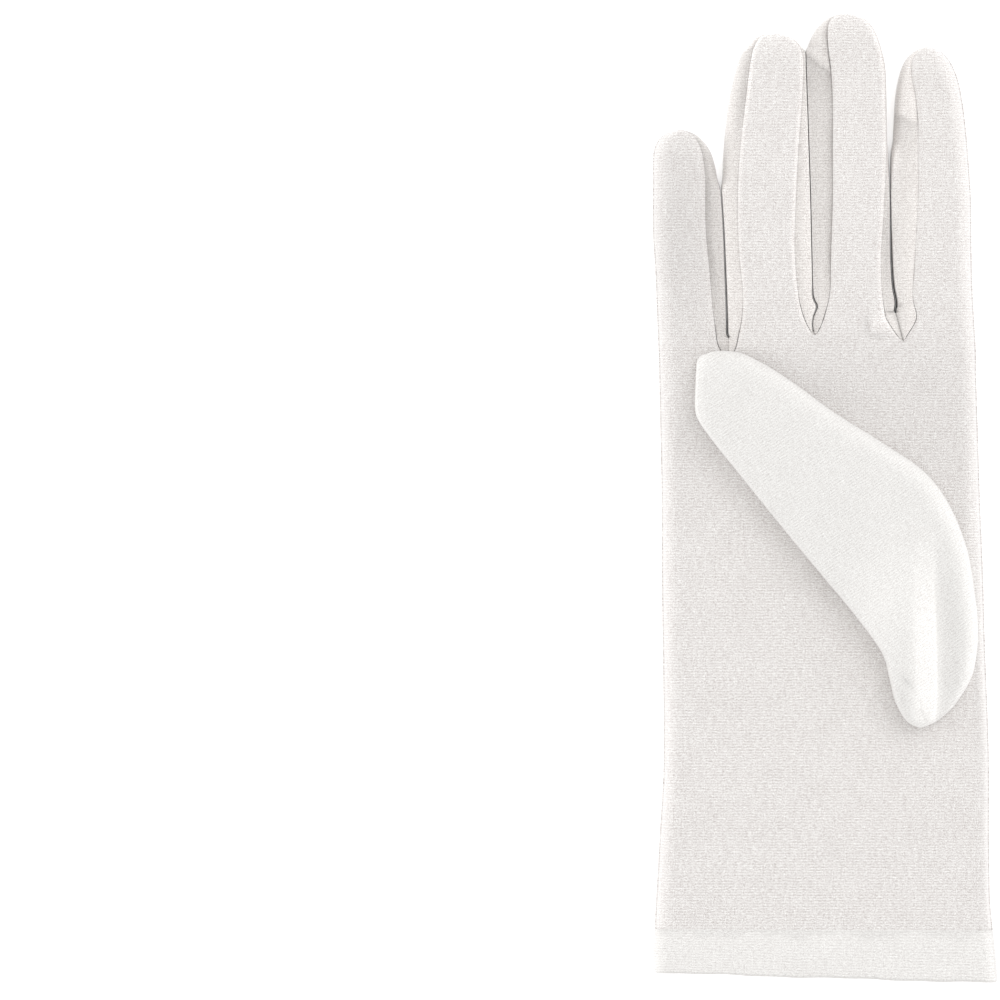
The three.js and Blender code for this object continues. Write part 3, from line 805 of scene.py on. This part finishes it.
def knit(name, colour, grain=1.0, sheen=0.8):
    """Fine warp-knit cloth: ribs across, faint columns, fuzz and soft mottling, with painted light
    and shade from the tone attribute.
    """
    material = bpy.data.materials.get(name)
    if material:
        return material
    material, tree, shader = new_material(
        name,
        Roughness=0.82,
        Specular_IOR_Level=0.28,
        Sheen_Weight=sheen,
        Sheen_Roughness=0.4,
        Sheen_Tint=(1, 1, 1, 1),
    )
    weave = new_node(tree, "ShaderNodeUVMap", uv_map="weave").outputs["UV"]

    def noise(scale, detail, roughness, stretch=None):
        """Noise on the weave, finer one way than the other if it is stretched."""
        made = new_node(
            tree, "ShaderNodeTexNoise", Scale=scale, Detail=detail, Roughness=roughness
        )
        place = weave
        if stretch:
            mapping = new_node(
                tree, "ShaderNodeMapping", vector_type="POINT", Scale=(*stretch, 1.0)
            )
            wire(tree, (weave, mapping.inputs["Vector"]))
            place = mapping.outputs["Vector"]
        wire(tree, (place, made.inputs["Vector"]))
        return made.outputs["Fac"]

    bands = new_node(
        tree,
        "ShaderNodeTexWave",
        wave_type="BANDS",
        bands_direction="Y",
        Scale=4.5,
        Distortion=1.4,
        Detail=2.0,
        **{"Detail Scale": 2.0},
    )
    wire(tree, (weave, bands.inputs["Vector"]))
    ribs = bands.outputs["Fac"]
    threads = noise(1.0, 3.0, 0.6, (8.0, 24.0))
    wales = noise(1.0, 2.0, 0.6, (21.0, 2.5))
    fuzz = noise(36.0, 2.0, 0.75)
    mottle = noise(1.3, 3.0, 0.55)

    relief = weighed(tree, (ribs, 0.12), (threads, 0.8), (wales, 0.5), (fuzz, 1.2))
    bump = new_node(tree, "ShaderNodeBump", Strength=0.55 * grain, Distance=0.12 * MM)
    tone = weighed(
        tree, (ribs, 0.06), (threads, 0.32), (wales, 0.13), (fuzz, 0.90), (mottle, 0.05)
    )
    light = [min(1.0, part * (1 + 0.5 * grain)) for part in colour]
    dark = [part * (1 - fade * grain) for part, fade in zip(colour, (0.44, 0.495, 0.51))]
    tint = ramp(tree, 0.50, dark, 0.96, light)
    # The tone attribute is painted light and shade; it scales the base colour.
    painted_shading_node = new_node(tree, "ShaderNodeAttribute", attribute_name="tone")
    shading_factor = new_node(tree, "ShaderNodeMath", operation="ADD")
    shading_factor.inputs[1].default_value = 1.0
    shaded = new_node(tree, "ShaderNodeVectorMath", operation="SCALE")
    wire(
        tree,
        (relief, bump.inputs["Height"]),
        (bump.outputs["Normal"], shader.inputs["Normal"]),
        (tone, tint.inputs["Fac"]),
        (painted_shading_node.outputs["Fac"], shading_factor.inputs[0]),
        (tint.outputs["Color"], shaded.inputs[0]),
        (shading_factor.outputs[0], shaded.inputs["Scale"]),
        (shaded.outputs[0], shader.inputs["Base Color"]),
    )
    return material


def finger_rows(hand, index):
    """Heights of the rows up one finger, closer together near its tip."""
    length = hand.fingers[index].length
    turns = np.sin(np.linspace(0, np.pi / 2, 13))
    tip = length - TIP_ROUND + TIP_ROUND * turns
    return np.concatenate([along_hand(CLOSE_TO, length - TIP_ROUND, FINGER_STEP)[1:-1], tip])


def hand_rows(low):
    """Heights of the rows that the strips of all four fingers share."""
    rows = np.concatenate(
        [
            along_hand(low, CLOSE_FROM, HAND_STEP)[:-1],
            along_hand(CLOSE_FROM, CLOSE_TO, CLOSE_STEP),
            [crotch.apex for crotch in CROTCHES],
        ]
    )
    return np.unique(np.round(rows, 7))


def in_thumb_hole(centres):
    """Which faces lie in the opening from the hand into the thumb."""
    wide, long, rise = THUMB_HOLE
    across = (centres[:, 0] - THUMB_BASE[0]) / wide
    along = (centres[:, 1] - THUMB_BASE[1] - rise) / long
    return across**2 + along**2 < 1


def palm_strip(hand, index):
    """The palm's points up one finger, row after row: x, y, z and tone."""
    finger = hand.fingers[index]
    y = np.concatenate([hand_rows(hand.hem_top), finger_rows(hand, index)])
    edges = []
    for side in (0, 1):
        crotch = index - 1 + side
        if crotch < 0:
            edges.append(hand.outer(y, 0) + RIM_SHOW * finger.fullness(y))
        elif crotch > 2:
            edges.append(hand.outer(y, 1) - RIM_SHOW * finger.fullness(y))
        else:
            edges.append(hand.seam_line(crotch, 1 - side, y))
    left, right = (edge[:, None] for edge in edges)
    x = left + (right - left) * spread(PALM_COLUMNS)[None, :]
    rows = np.broadcast_to(y[:, None], x.shape)

    shape = np.ones_like(x)
    for side, away in ((0, x - left), (1, right - x)):
        crotch = index - 1 + side
        if 0 <= crotch <= 2:
            above = rows - CROTCHES[crotch].apex
            strength = rising(above, -1.2, 1.2)
            reach = SEAM_ROLL + 2 * MM * (1 - rising(above, -2, 3))
            depth = SEAM_DEPTH / (hand.sizes.finger_height - hand.seam)
            shape *= 1 - depth * strength * (1 - np.clip(away / reach, 0, 1)) ** 2
        else:
            shape *= roll(away, RIM_ROLL)
    full = (hand.sizes.finger_height - hand.seam) * finger.fullness(rows)
    as_finger = hand.seam + full * shape * crowned(x, left, right)
    as_hand = hand.palm_over(x, rows)
    z = as_finger + (as_hand - as_finger) * hand.as_hand(rows)
    inside = rising(np.minimum(x - hand.outer(rows, 0), hand.outer(rows, 1) - x), 0, 6)
    relief = MM * bumps(x, rows, PALM_RELIEF) + slack(x, rows)
    z = z + inside * finger.fullness(rows) * relief
    return x, rows, z + PIECE_GAP, palm_painted_shading(x - left, right - x, x, rows, index)


def palm_painted_shading(from_left, from_right, x, y, index):
    """The palm's painted light and shade up one finger: a painted highlight where the cloth rolls
    over a seam.

    It is darker a little in from the right edge towards the mouth.
    """
    tone = bumps(x, y, PALM_PAINTED_SHADING)
    for side, away in ((0, from_left), (1, from_right)):
        crotch = index - 1 + side
        if 0 <= crotch <= 2:
            strength = rising(y - CROTCHES[crotch].apex, -0.5, 1.5)
            # Painted highlight on the palm's edge where it rolls over the seam.
            tone += LEGS[crotch][1 - side].rim * strength * band(away, 0.35, 0.5)
        else:
            # Painted highlight along the glove's rolled sides.
            tone += (0.05, 0.01)[side] * fading(away, 1.6)
            tone -= 0.10 * side * rising(-y, 55, 45) * band(away, 1.7, 1.2)
    return tone


class GLOVE_OT_palm(bpy.types.Operator):
    """Make the palm panel with the fronts of the four fingers"""

    bl_idname = "glove.palm"
    bl_label = "Palm panel"

    def execute(self, context):
        sizes = context.scene.glove_sizes
        hand = Hand(sizes)
        cloth = Cloth()
        for index in range(4):
            x, y, z, tone = palm_strip(hand, index)
            cloth.add(
                x,
                hand.slanted(x, y),
                z,
                across_weave(x, z, y),
                tone,
                keep=lambda centres: ~in_thumb_hole(centres),
            )
        material = knit("palm knit", context.scene.glove_colours.palm)
        flat = 95 * MM, 245 * MM
        dressed(cloth, hand, "palm_cloth", sizes.wall, material, "palm_panel", "cloth", *flat)
        return {"FINISHED"}


class GLOVE_OT_back(bpy.types.Operator):
    """Make the back panel with the backs of the four fingers"""

    bl_idname = "glove.back"
    bl_label = "Back panel"

    def execute(self, context):
        sizes = context.scene.glove_sizes
        hand = Hand(sizes)
        cloth = Cloth()
        for index, finger in enumerate(hand.fingers):
            y = np.concatenate([hand_rows(hand.hem_top), finger_rows(hand, index)])
            y = np.unique(np.concatenate([y, [crotch.bottom for crotch in CROTCHES]]))
            left, right = hand.outer(y, 0)[:, None], hand.outer(y, 1)[:, None]
            if index > 0:
                left = hand.free_edge(index - 1, 1, y, under=True)[:, None]
            if index < 3:
                right = hand.free_edge(index, 0, y, under=True)[:, None]
            x = left + (right - left) * spread(BACK_COLUMNS, 0.7)[None, :]
            rows = np.broadcast_to(y[:, None], x.shape)
            flat = np.ones_like(x)
            # Painted highlight along each strip's left edge.
            tone = 0.06 * fading(x - left, 0.6)
            for side, away in ((0, x - left), (1, right - x)):
                crotch = index - 1 + side
                strength = 1.0
                if 0 <= crotch <= 2:
                    strength = rising(rows - CROTCHES[crotch].bottom, 0, 0.8)
                    closed = rising(rows, 0, 1) * (1 - hand.parted(crotch, rows))
                    # Painted shade at the bottom of each closed gap.
                    tone -= GAP_SHADE[crotch] * closed * fading(away, 1.5)
                flat *= 1 - strength * (1 - roll(away, CORNER))
            z = (hand.seam - PIECE_GAP) * (1 - flat * finger.fullness(rows))
            # Painted shade along the index finger's right edge.
            if index == 3:
                tone -= 0.08 * fading(right - x, 0.6)
            cloth.add(x, hand.slanted(x, rows), z, across_weave(x, z, rows), tone, flipped=True)
        material = knit("palm knit", context.scene.glove_colours.palm)
        flat = 95 * MM, 245 * MM
        dressed(cloth, hand, "back_cloth", sizes.wall, material, "back_panel", "cloth", *flat)
        return {"FINISHED"}


def beyond(x, y, start, end):
    """How far points are above a line, in millimetres, like the line's two ends."""
    across, up = end[0] - start[0], end[1] - start[1]
    return (across * (y / MM - start[1]) - up * (x / MM - start[0])) / np.hypot(across, up)


def lap_rise(crotch, side, x, y):
    """How far the upper cloth of a fourchette's lap stands proud."""
    total = np.zeros_like(x)
    for which, leg, start, end, rise, _ in FOURCHETTE_LAPS:
        if (which, leg) == (crotch, side):
            away = beyond(x, y, start, end)
            total += rise * MM * ease(away / 0.35 + 0.5) * np.exp(-np.maximum(away, 0) / 9)
    return total


def fourchette_leg(hand, crotch, side):
    """Half of a fourchette: down one finger from its tip to the web."""
    finger = hand.fingers[crotch + side]
    _, apex, bottom, crease, _ = CROTCHES[crotch]
    low = along_hand(apex, 4 * MM + bottom, WEB_STEP)
    high = finger_rows(hand, crotch + side)
    y = np.unique(np.round(np.concatenate([low, [bottom], high[high > low[-1] + 0.2 * MM]]), 7))
    seam = hand.seam_line(crotch, side, y)
    free = hand.free_edge(crotch, side, y)
    outward = 1 if side == 0 else -1
    clear = SEAM_GAP + 0.12 * MM * (1 - rising(y - apex, 4, 10))
    seam = seam + outward * clear * rising(y - apex, 0, 1) * finger.fullness(y)
    share = spread(LEG_COLUMNS, 0.5)[None, :]
    if side == 0:
        left, right = seam, free
    else:
        left, right = free, seam
    x = left[:, None] + (right - left)[:, None] * share
    rows = np.broadcast_to(y[:, None], x.shape)
    ends = (x - left[:, None], right[:, None] - x)
    from_seam, from_free = ends if side == 0 else ends[::-1]
    full = finger.fullness(rows)
    crown = hand.seam + (hand.sizes.finger_height - hand.seam) * (1 - CROWN) * full
    over = hand.palm_over(seam[:, None], rows)
    at_seam = crown + (over - crown) * hand.as_hand(rows) - SEAM_SHOW * full
    opened = rising(rows - bottom, 0, 1)
    at_web = hand.seam + (WEB_HEIGHT - hand.seam) * full
    at_free = at_web + (hand.seam + PIECE_GAP - at_web) * opened
    wide = np.maximum((right - left)[:, None], 1e-6)
    loose = hand.parted(crotch, y)[:, None]
    snug = hand.gap_row(crotch, y, 2)[:, None]
    free_reach = snug + (FREE_ROLL - snug) * loose
    reach = np.minimum(free_reach, 0.85 * wide) * opened + 0.7 * wide * (1 - opened)
    dip = LEGS[crotch][side].dip * rising(rows, 8, 14) * (1 - rising(from_seam, 0, 1.8)) * full
    flat = at_seam - dip - 0.12 * from_seam * loose
    z = at_free + (flat - at_free) * roll(from_free, reach)
    inside = rising(np.minimum(from_seam, from_free), 0, 0.6)
    z = z + lap_rise(crotch, side, x, rows) * full * inside
    tone = leg_painted_shading(crotch, side, x, rows, from_seam / wide)
    # Painted shade in the crease of the web, below where the gap opens.
    tone = tone - crease * (1 - opened) * fading(from_free, 0.25)
    return x, rows, z, tone


def leg_painted_shading(crotch, side, x, y, share):
    """The painted light and shade on one leg of a fourchette: a painted highlight above its lap and
    a painted shadow below it.
    """
    tone = np.interp(share, (0.0, 0.5, 1.0), LEGS[crotch][side].tones)
    for which, row in FOURCHETTE_PAINTED_SHADING:
        if which == crotch:
            tone += bumps(x, y, (row,))
    for which, leg, start, end, _, fade in FOURCHETTE_LAPS:
        if (which, leg) == (crotch, side):
            away = beyond(x, y, start, end)
            shade = np.exp(np.minimum(away, 0) / fade) * ease(-away / 0.2)
            tone += 0.04 * ease(away / 0.3) - 0.14 * shade
    return tone


class GLOVE_OT_fourchettes(bpy.types.Operator):
    """Make the three fourchettes between the fingers"""

    bl_idname = "glove.fourchettes"
    bl_label = "Fourchettes"

    def execute(self, context):
        sizes = context.scene.glove_sizes
        hand = Hand(sizes)
        material = knit("fourchette knit", context.scene.glove_colours.fourchette, grain=0.9)
        names = ("little_ring", "ring_middle", "middle_index")
        for crotch, name in enumerate(names):
            cloth = Cloth()
            for side in (0, 1):
                x, y, z, tone = fourchette_leg(hand, crotch, side)
                cloth.add(x, y, z, across_weave(x, z, y), tone)
            node = f"fourchette_{name}"
            flat = 20 * MM, 90 * MM
            dressed(
                cloth, hand, f"{node}_cloth", sizes.wall, material, node, "fourchette_cloth", *flat
            )
        return {"FINISHED"}


def thumb_point(hand, u, v):
    """A point of the thumb from its own across and along."""
    turn = hand.sizes.thumb_turn
    x = THUMB_BASE[0] + u * math.cos(turn) - v * math.sin(turn)
    y = THUMB_BASE[1] + u * math.sin(turn) + v * math.cos(turn)
    return x, y


def thumb_ridge(x, y):
    """The ridge and crease where the thumb leaves the palm, in millimetres."""
    across, up = smooth(RIDGE_ACROSS, 6), smooth(RIDGE_UP, 6)
    sway = 0.4 * np.sin(y / (9 * MM))
    rise = np.interp(x / MM - sway, across[:, 0], across[:, 1])
    return rise * np.interp(y / MM, up[:, 0], up[:, 1])


class GLOVE_OT_thumb(bpy.types.Operator):
    """Make the thumb that is folded over the palm"""

    bl_idname = "glove.thumb"
    bl_label = "Thumb"

    def execute(self, context):
        sizes = context.scene.glove_sizes
        hand = Hand(sizes)
        rows = smooth(THUMB_ROWS)
        length, width = sizes.thumb_length, sizes.thumb_width
        end = 1.0 * MM
        turns = end * (1 - np.cos(np.linspace(0, np.pi / 2, 9)))
        middle = along_hand(end, length - end, THUMB_STEP)
        v = np.concatenate([turns[:-1], middle, (length - turns)[::-1][1:]])
        left = np.interp(v / length, rows[:, 0], rows[:, 1]) * width
        right = np.interp(v / length, rows[:, 0], rows[:, 2]) * width
        tall = sizes.thumb_height * np.interp(v / length, rows[:, 0], rows[:, 3])
        near = np.clip(1 - np.minimum(v, length - v) / end, 0, 1)
        closing = np.sqrt(1 - near**2)[:, None]
        centre = ((left + right) / 2)[:, None]
        left = centre + (left[:, None] - centre) * closing
        right = centre + (right[:, None] - centre) * closing

        u = left + (right - left) * round_shares(*THUMB_COLUMNS, 0.5)
        along = np.broadcast_to(v[:, None], u.shape)
        x, y = thumb_point(hand, u, along)
        low = hand.palm_over(x, y) + PIECE_GAP + THUMB_GAP
        count = THUMB_COLUMNS[0]
        from_left, from_right = u - left, right - u
        thick = roll(from_left, 0.9 * MM) * roll(from_right, 5.5 * MM)
        crown = crowned(u, left, right, THUMB_CROWN)
        top = THUMB_RIM + (tall[:, None] - THUMB_RIM) * thick * crown
        ridge = thumb_ridge(x - THUMB_BASE[0], y - THUMB_BASE[1])
        folds = ridge + bumps(x - THUMB_BASE[0], y - THUMB_BASE[1], THUMB_FOLDS)
        inner = rising(from_left, 0, 1.5) * rising(from_right, 0, 4)
        top = top + (folds * MM + slack(y, x) * 0.8) * inner * closing
        bottom = THUMB_RIM * (1 - roll(np.minimum(from_left, from_right), THUMB_RIM))
        raised = np.concatenate([top[:, :count], bottom[:, count:]], axis=1)
        z = low + THUMB_RIM * 0.5 * (1 - closing) + raised * closing

        underside = float(np.median(low)) + 0.5 * MM

        def off_the_hole(centres):
            return ~(in_thumb_hole(centres) & (centres[:, 2] < underside))

        upper = np.arange(x.shape[1])[None, :] < count
        # The thumb's tone is painted light and shade on its upper side: a painted highlight on the
        # ridge, along the left edge and its tip, and on the right rim.
        tip = ease((along / length - 0.84) / 0.04)
        edges = 0.08 * fading(from_left, 0.5) + 0.05 * tip * band(from_left, 1.6, 0.7)
        edges = edges + 0.04 * band(from_right, 1.5, 1.8)
        tone = upper * (0.24 * np.clip(ridge, -0.04, 1) + edges + bumps(x, y, THUMB_PAINTED_SHADING))
        cloth = Cloth()
        weave = across_weave(u, z, along)
        cloth.add(x, y, z, weave, tone, closed=True, keep=off_the_hole)
        material = knit("thumb knit", context.scene.glove_colours.thumb, 0.6, 0.4)
        flat = 85 * MM, 112 * MM
        dressed(cloth, hand, "thumb_cloth", sizes.wall, material, "thumb", "cloth", *flat)
        return {"FINISHED"}


def hem_section(hand, y, inset):
    """Closed rows of points round the cuff, each set in by its own distance."""
    left, right = hand.outer(y, 0)[:, None] + inset, hand.outer(y, 1)[:, None] - inset
    seam = np.maximum(hand.seam, inset + 0.35 * MM)
    x = left + (right - left) * round_shares(*HEM_COLUMNS, 0.6)
    away = np.minimum(x - left, right - x)
    tall = hand.sizes.palm_height * hand.column(y, 3)[:, None] - inset - seam
    round_rims = roll(away, RIM_ROLL) * crowned(x, left, right)
    top = seam + tall * round_rims + PIECE_GAP * rising(away, 0, 1)
    bottom = seam - (seam - np.maximum(inset, 0)) * roll(away, CORNER)
    count = HEM_COLUMNS[0]
    rows = np.broadcast_to(y[:, None], x.shape)
    z = np.concatenate([top[:, :count], bottom[:, count:]], axis=1)
    return x, rows, z + slack(x, rows) * rising(away, 0, 6) * (z > seam + 1 * MM)


# The hem's outline from its top edge outside, down to the mouth, round its
# fold and back up inside: how far below the top edge, and how far in, both in
# millimetres.
HEM_FOLD = (
    (0.01, 0.0),
    (0.4, -0.02),
    (1.2, -0.06),
    (2.4, -0.13),
    (4.0, -0.20),
    (6.0, -0.22),
    (8.0, -0.22),
    (10.0, -0.18),
    (11.2, -0.08),
    (11.8, 0.15),
    (12.0, 0.50),
    (12.0, 0.95),
    (11.8, 1.30),
    (11.2, 1.48),
    (9.0, 1.52),
    (6.0, 1.52),
    (3.0, 1.52),
    (0.6, 1.52),
)
HEM_FOLD_DEPTH = 12.0
HEM_WALL = 0.5 * MM  # of each of the hem's two layers
STITCHES_DOWN, STITCHES_IN = 0.9 * MM, 1.62 * MM  # from the hem's top edge outside


class GLOVE_OT_hem(bpy.types.Operator):
    """Make the turned hem round the mouth"""

    bl_idname = "glove.hem"
    bl_label = "Hem"

    def execute(self, context):
        sizes = context.scene.glove_sizes
        hand = Hand(sizes)
        fold = smooth(HEM_FOLD, 3)
        y = hand.hem_top - fold[:, 0] * sizes.hem_depth / HEM_FOLD_DEPTH
        x, rows, z = hem_section(hand, y, fold[:, 1][:, None] * MM)
        across = x / MM
        ripple = 0.12 * MM * np.sin(across / 5.2) + 0.07 * MM * np.sin(across / 1.9 + 1)
        uneven = 0.7 * MM * np.sin(across / 3.1) + 0.5 * MM * np.sin(across / 1.3 + 2)
        below = hand.hem_top - rows
        placed = hand.slanted(x, rows) + ripple * np.clip(below / sizes.hem_depth, 0, 1) ** 2
        steps = np.hypot(np.diff(fold[:, 0]), np.diff(fold[:, 1]))
        along = np.concatenate([[0], np.cumsum(steps)]) * MM
        weave = across_weave(x, z, hand.hem_top - along[:, None])
        # The hem is darker just under its top edge, with painted shade inside the mouth past the
        # fold and a thin painted shadow line at the right end.
        tone = -0.06 * (1 - rising(below + uneven, 0.8, 1.4))
        tone -= 0.12 * rising(below - sizes.hem_depth, -0.7, 0.6)
        tone -= 0.16 * band(hand.outer(rows, 1) - x, 0.2, 0.3)
        cloth = Cloth()
        cloth.add(x, placed, z, weave, tone, closed=True, flipped=True)
        material = knit("hem knit", context.scene.glove_colours.hem, 0.7, 0.4)
        flat = 175 * MM, 26 * MM
        dressed(cloth, hand, "hem_cloth", HEM_WALL, material, "hem", "hem_cloth", *flat)
        return {"FINISHED"}


def stitch_tree(material):
    """A row of short stitches along a line of points."""
    tree = bpy.data.node_groups.new("stitch_row", "GeometryNodeTree")
    sockets = tree.interface
    sockets.new_socket("Line", in_out="INPUT", socket_type="NodeSocketGeometry")
    names = {}
    for name, value in (("Spacing", 2.2 * MM), ("Length", 1.2 * MM), ("Thread", 0.2 * MM)):
        socket = sockets.new_socket(name, in_out="INPUT", socket_type="NodeSocketFloat")
        socket.default_value = value
        names[name] = socket.identifier
    sockets.new_socket("Stitches", in_out="OUTPUT", socket_type="NodeSocketGeometry")
    entry = new_node(tree, "NodeGroupInput")
    leave = new_node(tree, "NodeGroupOutput")
    curve = new_node(tree, "GeometryNodeMeshToCurve")
    resample = new_node(tree, "GeometryNodeResampleCurve", mode="LENGTH")
    tangent = new_node(tree, "GeometryNodeInputTangent")
    align = new_node(tree, "FunctionNodeAlignEulerToVector", axis="X")
    ball = new_node(tree, "GeometryNodeMeshUVSphere", Segments=6, Rings=5, Radius=0.5)
    size = new_node(tree, "ShaderNodeCombineXYZ")
    instance = new_node(tree, "GeometryNodeInstanceOnPoints")
    realize = new_node(tree, "GeometryNodeRealizeInstances")
    paint = new_node(tree, "GeometryNodeSetMaterial", Material=material)
    wire(
        tree,
        (entry.outputs["Line"], curve.inputs[0]),
        (curve.outputs[0], resample.inputs["Curve"]),
        (entry.outputs["Spacing"], resample.inputs["Length"]),
        (resample.outputs[0], instance.inputs["Points"]),
        (ball.outputs["Mesh"], instance.inputs["Instance"]),
        (tangent.outputs[0], align.inputs["Vector"]),
        (align.outputs[0], instance.inputs["Rotation"]),
        (entry.outputs["Length"], size.inputs["X"]),
        (entry.outputs["Thread"], size.inputs["Y"]),
        (entry.outputs["Thread"], size.inputs["Z"]),
        (size.outputs[0], instance.inputs["Scale"]),
        (instance.outputs[0], realize.inputs[0]),
        (realize.outputs[0], paint.inputs["Geometry"]),
        (paint.outputs[0], leave.inputs["Stitches"]),
    )
    return tree, names


def thread_finish(colour):
    """Spun sewing thread with a slight twist."""
    material, tree, shader = new_material("sewing thread", Roughness=0.6, Sheen_Weight=0.2)
    place = new_node(tree, "ShaderNodeTexCoord")
    twist = new_node(tree, "ShaderNodeTexNoise", Scale=5000)
    tint = ramp(tree, 0.3, [part * 0.85 for part in colour], 0.7, colour)
    wire(
        tree,
        (place.outputs["Object"], twist.inputs["Vector"]),
        (twist.outputs["Fac"], tint.inputs["Fac"]),
        (tint.outputs["Color"], shader.inputs["Base Color"]),
    )
    return material


class GLOVE_OT_stitches(bpy.types.Operator):
    """Sew the hem's inner edge to the cuff"""

    bl_idname = "glove.stitches"
    bl_label = "Stitches"

    def execute(self, context):
        sizes = context.scene.glove_sizes
        hand = Hand(sizes)
        material = thread_finish(context.scene.glove_colours.thread)
        tree, names = stitch_tree(material)
        y = np.array([hand.hem_top - STITCHES_DOWN])
        x, rows, z = hem_section(hand, y, np.array([[STITCHES_IN]]))
        points = np.stack([x[0], hand.slanted(x, rows)[0], z[0]], axis=-1) + hand.place
        edges = [(start, start + 1) for start in range(len(points) - 1)]
        mesh = bpy.data.meshes.new("hem_stitches")
        mesh.from_pydata(points.tolist(), edges, [])
        piece = bpy.data.objects.new("hem_stitches", mesh)
        context.scene.collection.objects.link(piece)
        sewing = piece.modifiers.new("stitches", "NODES")
        sewing.node_group = tree
        sewing[names["Spacing"]] = sizes.stitch_spacing
        sewing[names["Length"]] = sizes.stitch_length
        sewing[names["Thread"]] = sizes.thread
        flatten(piece)
        if not piece.data.polygons:
            raise RuntimeError("the stitches came out empty")
        piece.data.polygons.foreach_set("use_smooth", [True] * len(piece.data.polygons))
        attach(piece, "root")
        return {"FINISHED"}


def lamp(name, size, power, place):
    """A soft square light that looks at the glove."""
    data = bpy.data.lights.new(name, "AREA")
    data.size = size
    data.energy = power
    made = bpy.data.objects.new(name, data)
    made.location = place
    made.rotation_euler = (-Vector(place)).to_track_quat("-Z", "Y").to_euler()
    bpy.context.scene.collection.objects.link(made)


class GLOVE_OT_stage(bpy.types.Operator):
    """Set the table, the light and the camera"""

    bl_idname = "glove.stage"
    bl_label = "Table, light and camera"

    def execute(self, context):
        scene = context.scene
        floor = bpy.data.meshes.new("table")
        reach = 3.0
        floor.from_pydata(
            [(-reach, -reach, 0), (reach, -reach, 0), (reach, reach, 0), (-reach, reach, 0)],
            [],
            [(0, 1, 2, 3)],
        )
        table = bpy.data.objects.new("table", floor)
        scene.collection.objects.link(table)
        paint, _, _ = new_material(
            "table paint",
            Base_Color=(*scene.glove_colours.table, 1),
            Roughness=0.9,
            Specular_IOR_Level=0.1,
            Emission_Color=(1, 1, 1, 1),
            Emission_Strength=0.35,
        )
        floor.materials.append(paint)

        world = bpy.data.worlds.new("soft room")
        world.use_nodes = True
        sky = world.node_tree.nodes["Background"]
        sky.inputs["Color"].default_value = (1, 1, 1, 1)
        sky.inputs["Strength"].default_value = 0.95
        scene.world = world
        lamp("key light", 2.6, 39.5, (1.8, 2.0, 2.95))
        lamp("left edge light", 1.0, 16.0, (-2.4, 0.1, 0.55))
        lamp("right edge light", 1.0, 8.0, (2.4, -0.1, 0.55))

        lens, sensor = 500.0, 36.0
        data = bpy.data.cameras.new("camera")
        data.lens = lens
        data.sensor_width = sensor
        data.clip_end = 20
        view = bpy.data.objects.new("camera", data)
        picture = 0.25
        hand_height = 7 * MM
        view.location = (-81.4 * MM, -0.56 * MM, picture * lens / sensor + hand_height)
        scene.collection.objects.link(view)
        scene.camera = view
        scene.view_settings.view_transform = "Standard"
        return {"FINISHED"}


class GLOVE_PT_panel(bpy.types.Panel):
    """Lists the glove's sizes, colours and steps"""

    bl_idname = "GLOVE_PT_panel"
    bl_label = "Dress glove"
    bl_space_type = "VIEW_3D"
    bl_region_type = "UI"
    bl_category = "Glove"

    def draw(self, context):
        for group in (context.scene.glove_sizes, context.scene.glove_colours):
            box = self.layout.box()
            for name in group.__annotations__:
                box.prop(group, name)
        for operator in STEPS:
            self.layout.operator(operator.bl_idname)


STEPS = (
    GLOVE_OT_stage,
    GLOVE_OT_palm,
    GLOVE_OT_back,
    GLOVE_OT_fourchettes,
    GLOVE_OT_thumb,
    GLOVE_OT_hem,
    GLOVE_OT_stitches,
)
CLASSES = (GloveSizes, GloveColours, *STEPS, GLOVE_PT_panel)


def register():
    for made in CLASSES:
        bpy.utils.register_class(made)
    bpy.types.Scene.glove_sizes = PointerProperty(type=GloveSizes)
    bpy.types.Scene.glove_colours = PointerProperty(type=GloveColours)


def unregister():
    del bpy.types.Scene.glove_colours
    del bpy.types.Scene.glove_sizes
    for made in reversed(CLASSES):
        bpy.utils.unregister_class(made)


def main():
    register()
    bpy.ops.glove.stage()
    bpy.ops.glove.palm()
    bpy.ops.glove.back()
    bpy.ops.glove.fourchettes()
    bpy.ops.glove.thumb()
    bpy.ops.glove.hem()
    bpy.ops.glove.stitches()


if __name__ == "__main__":
    main()
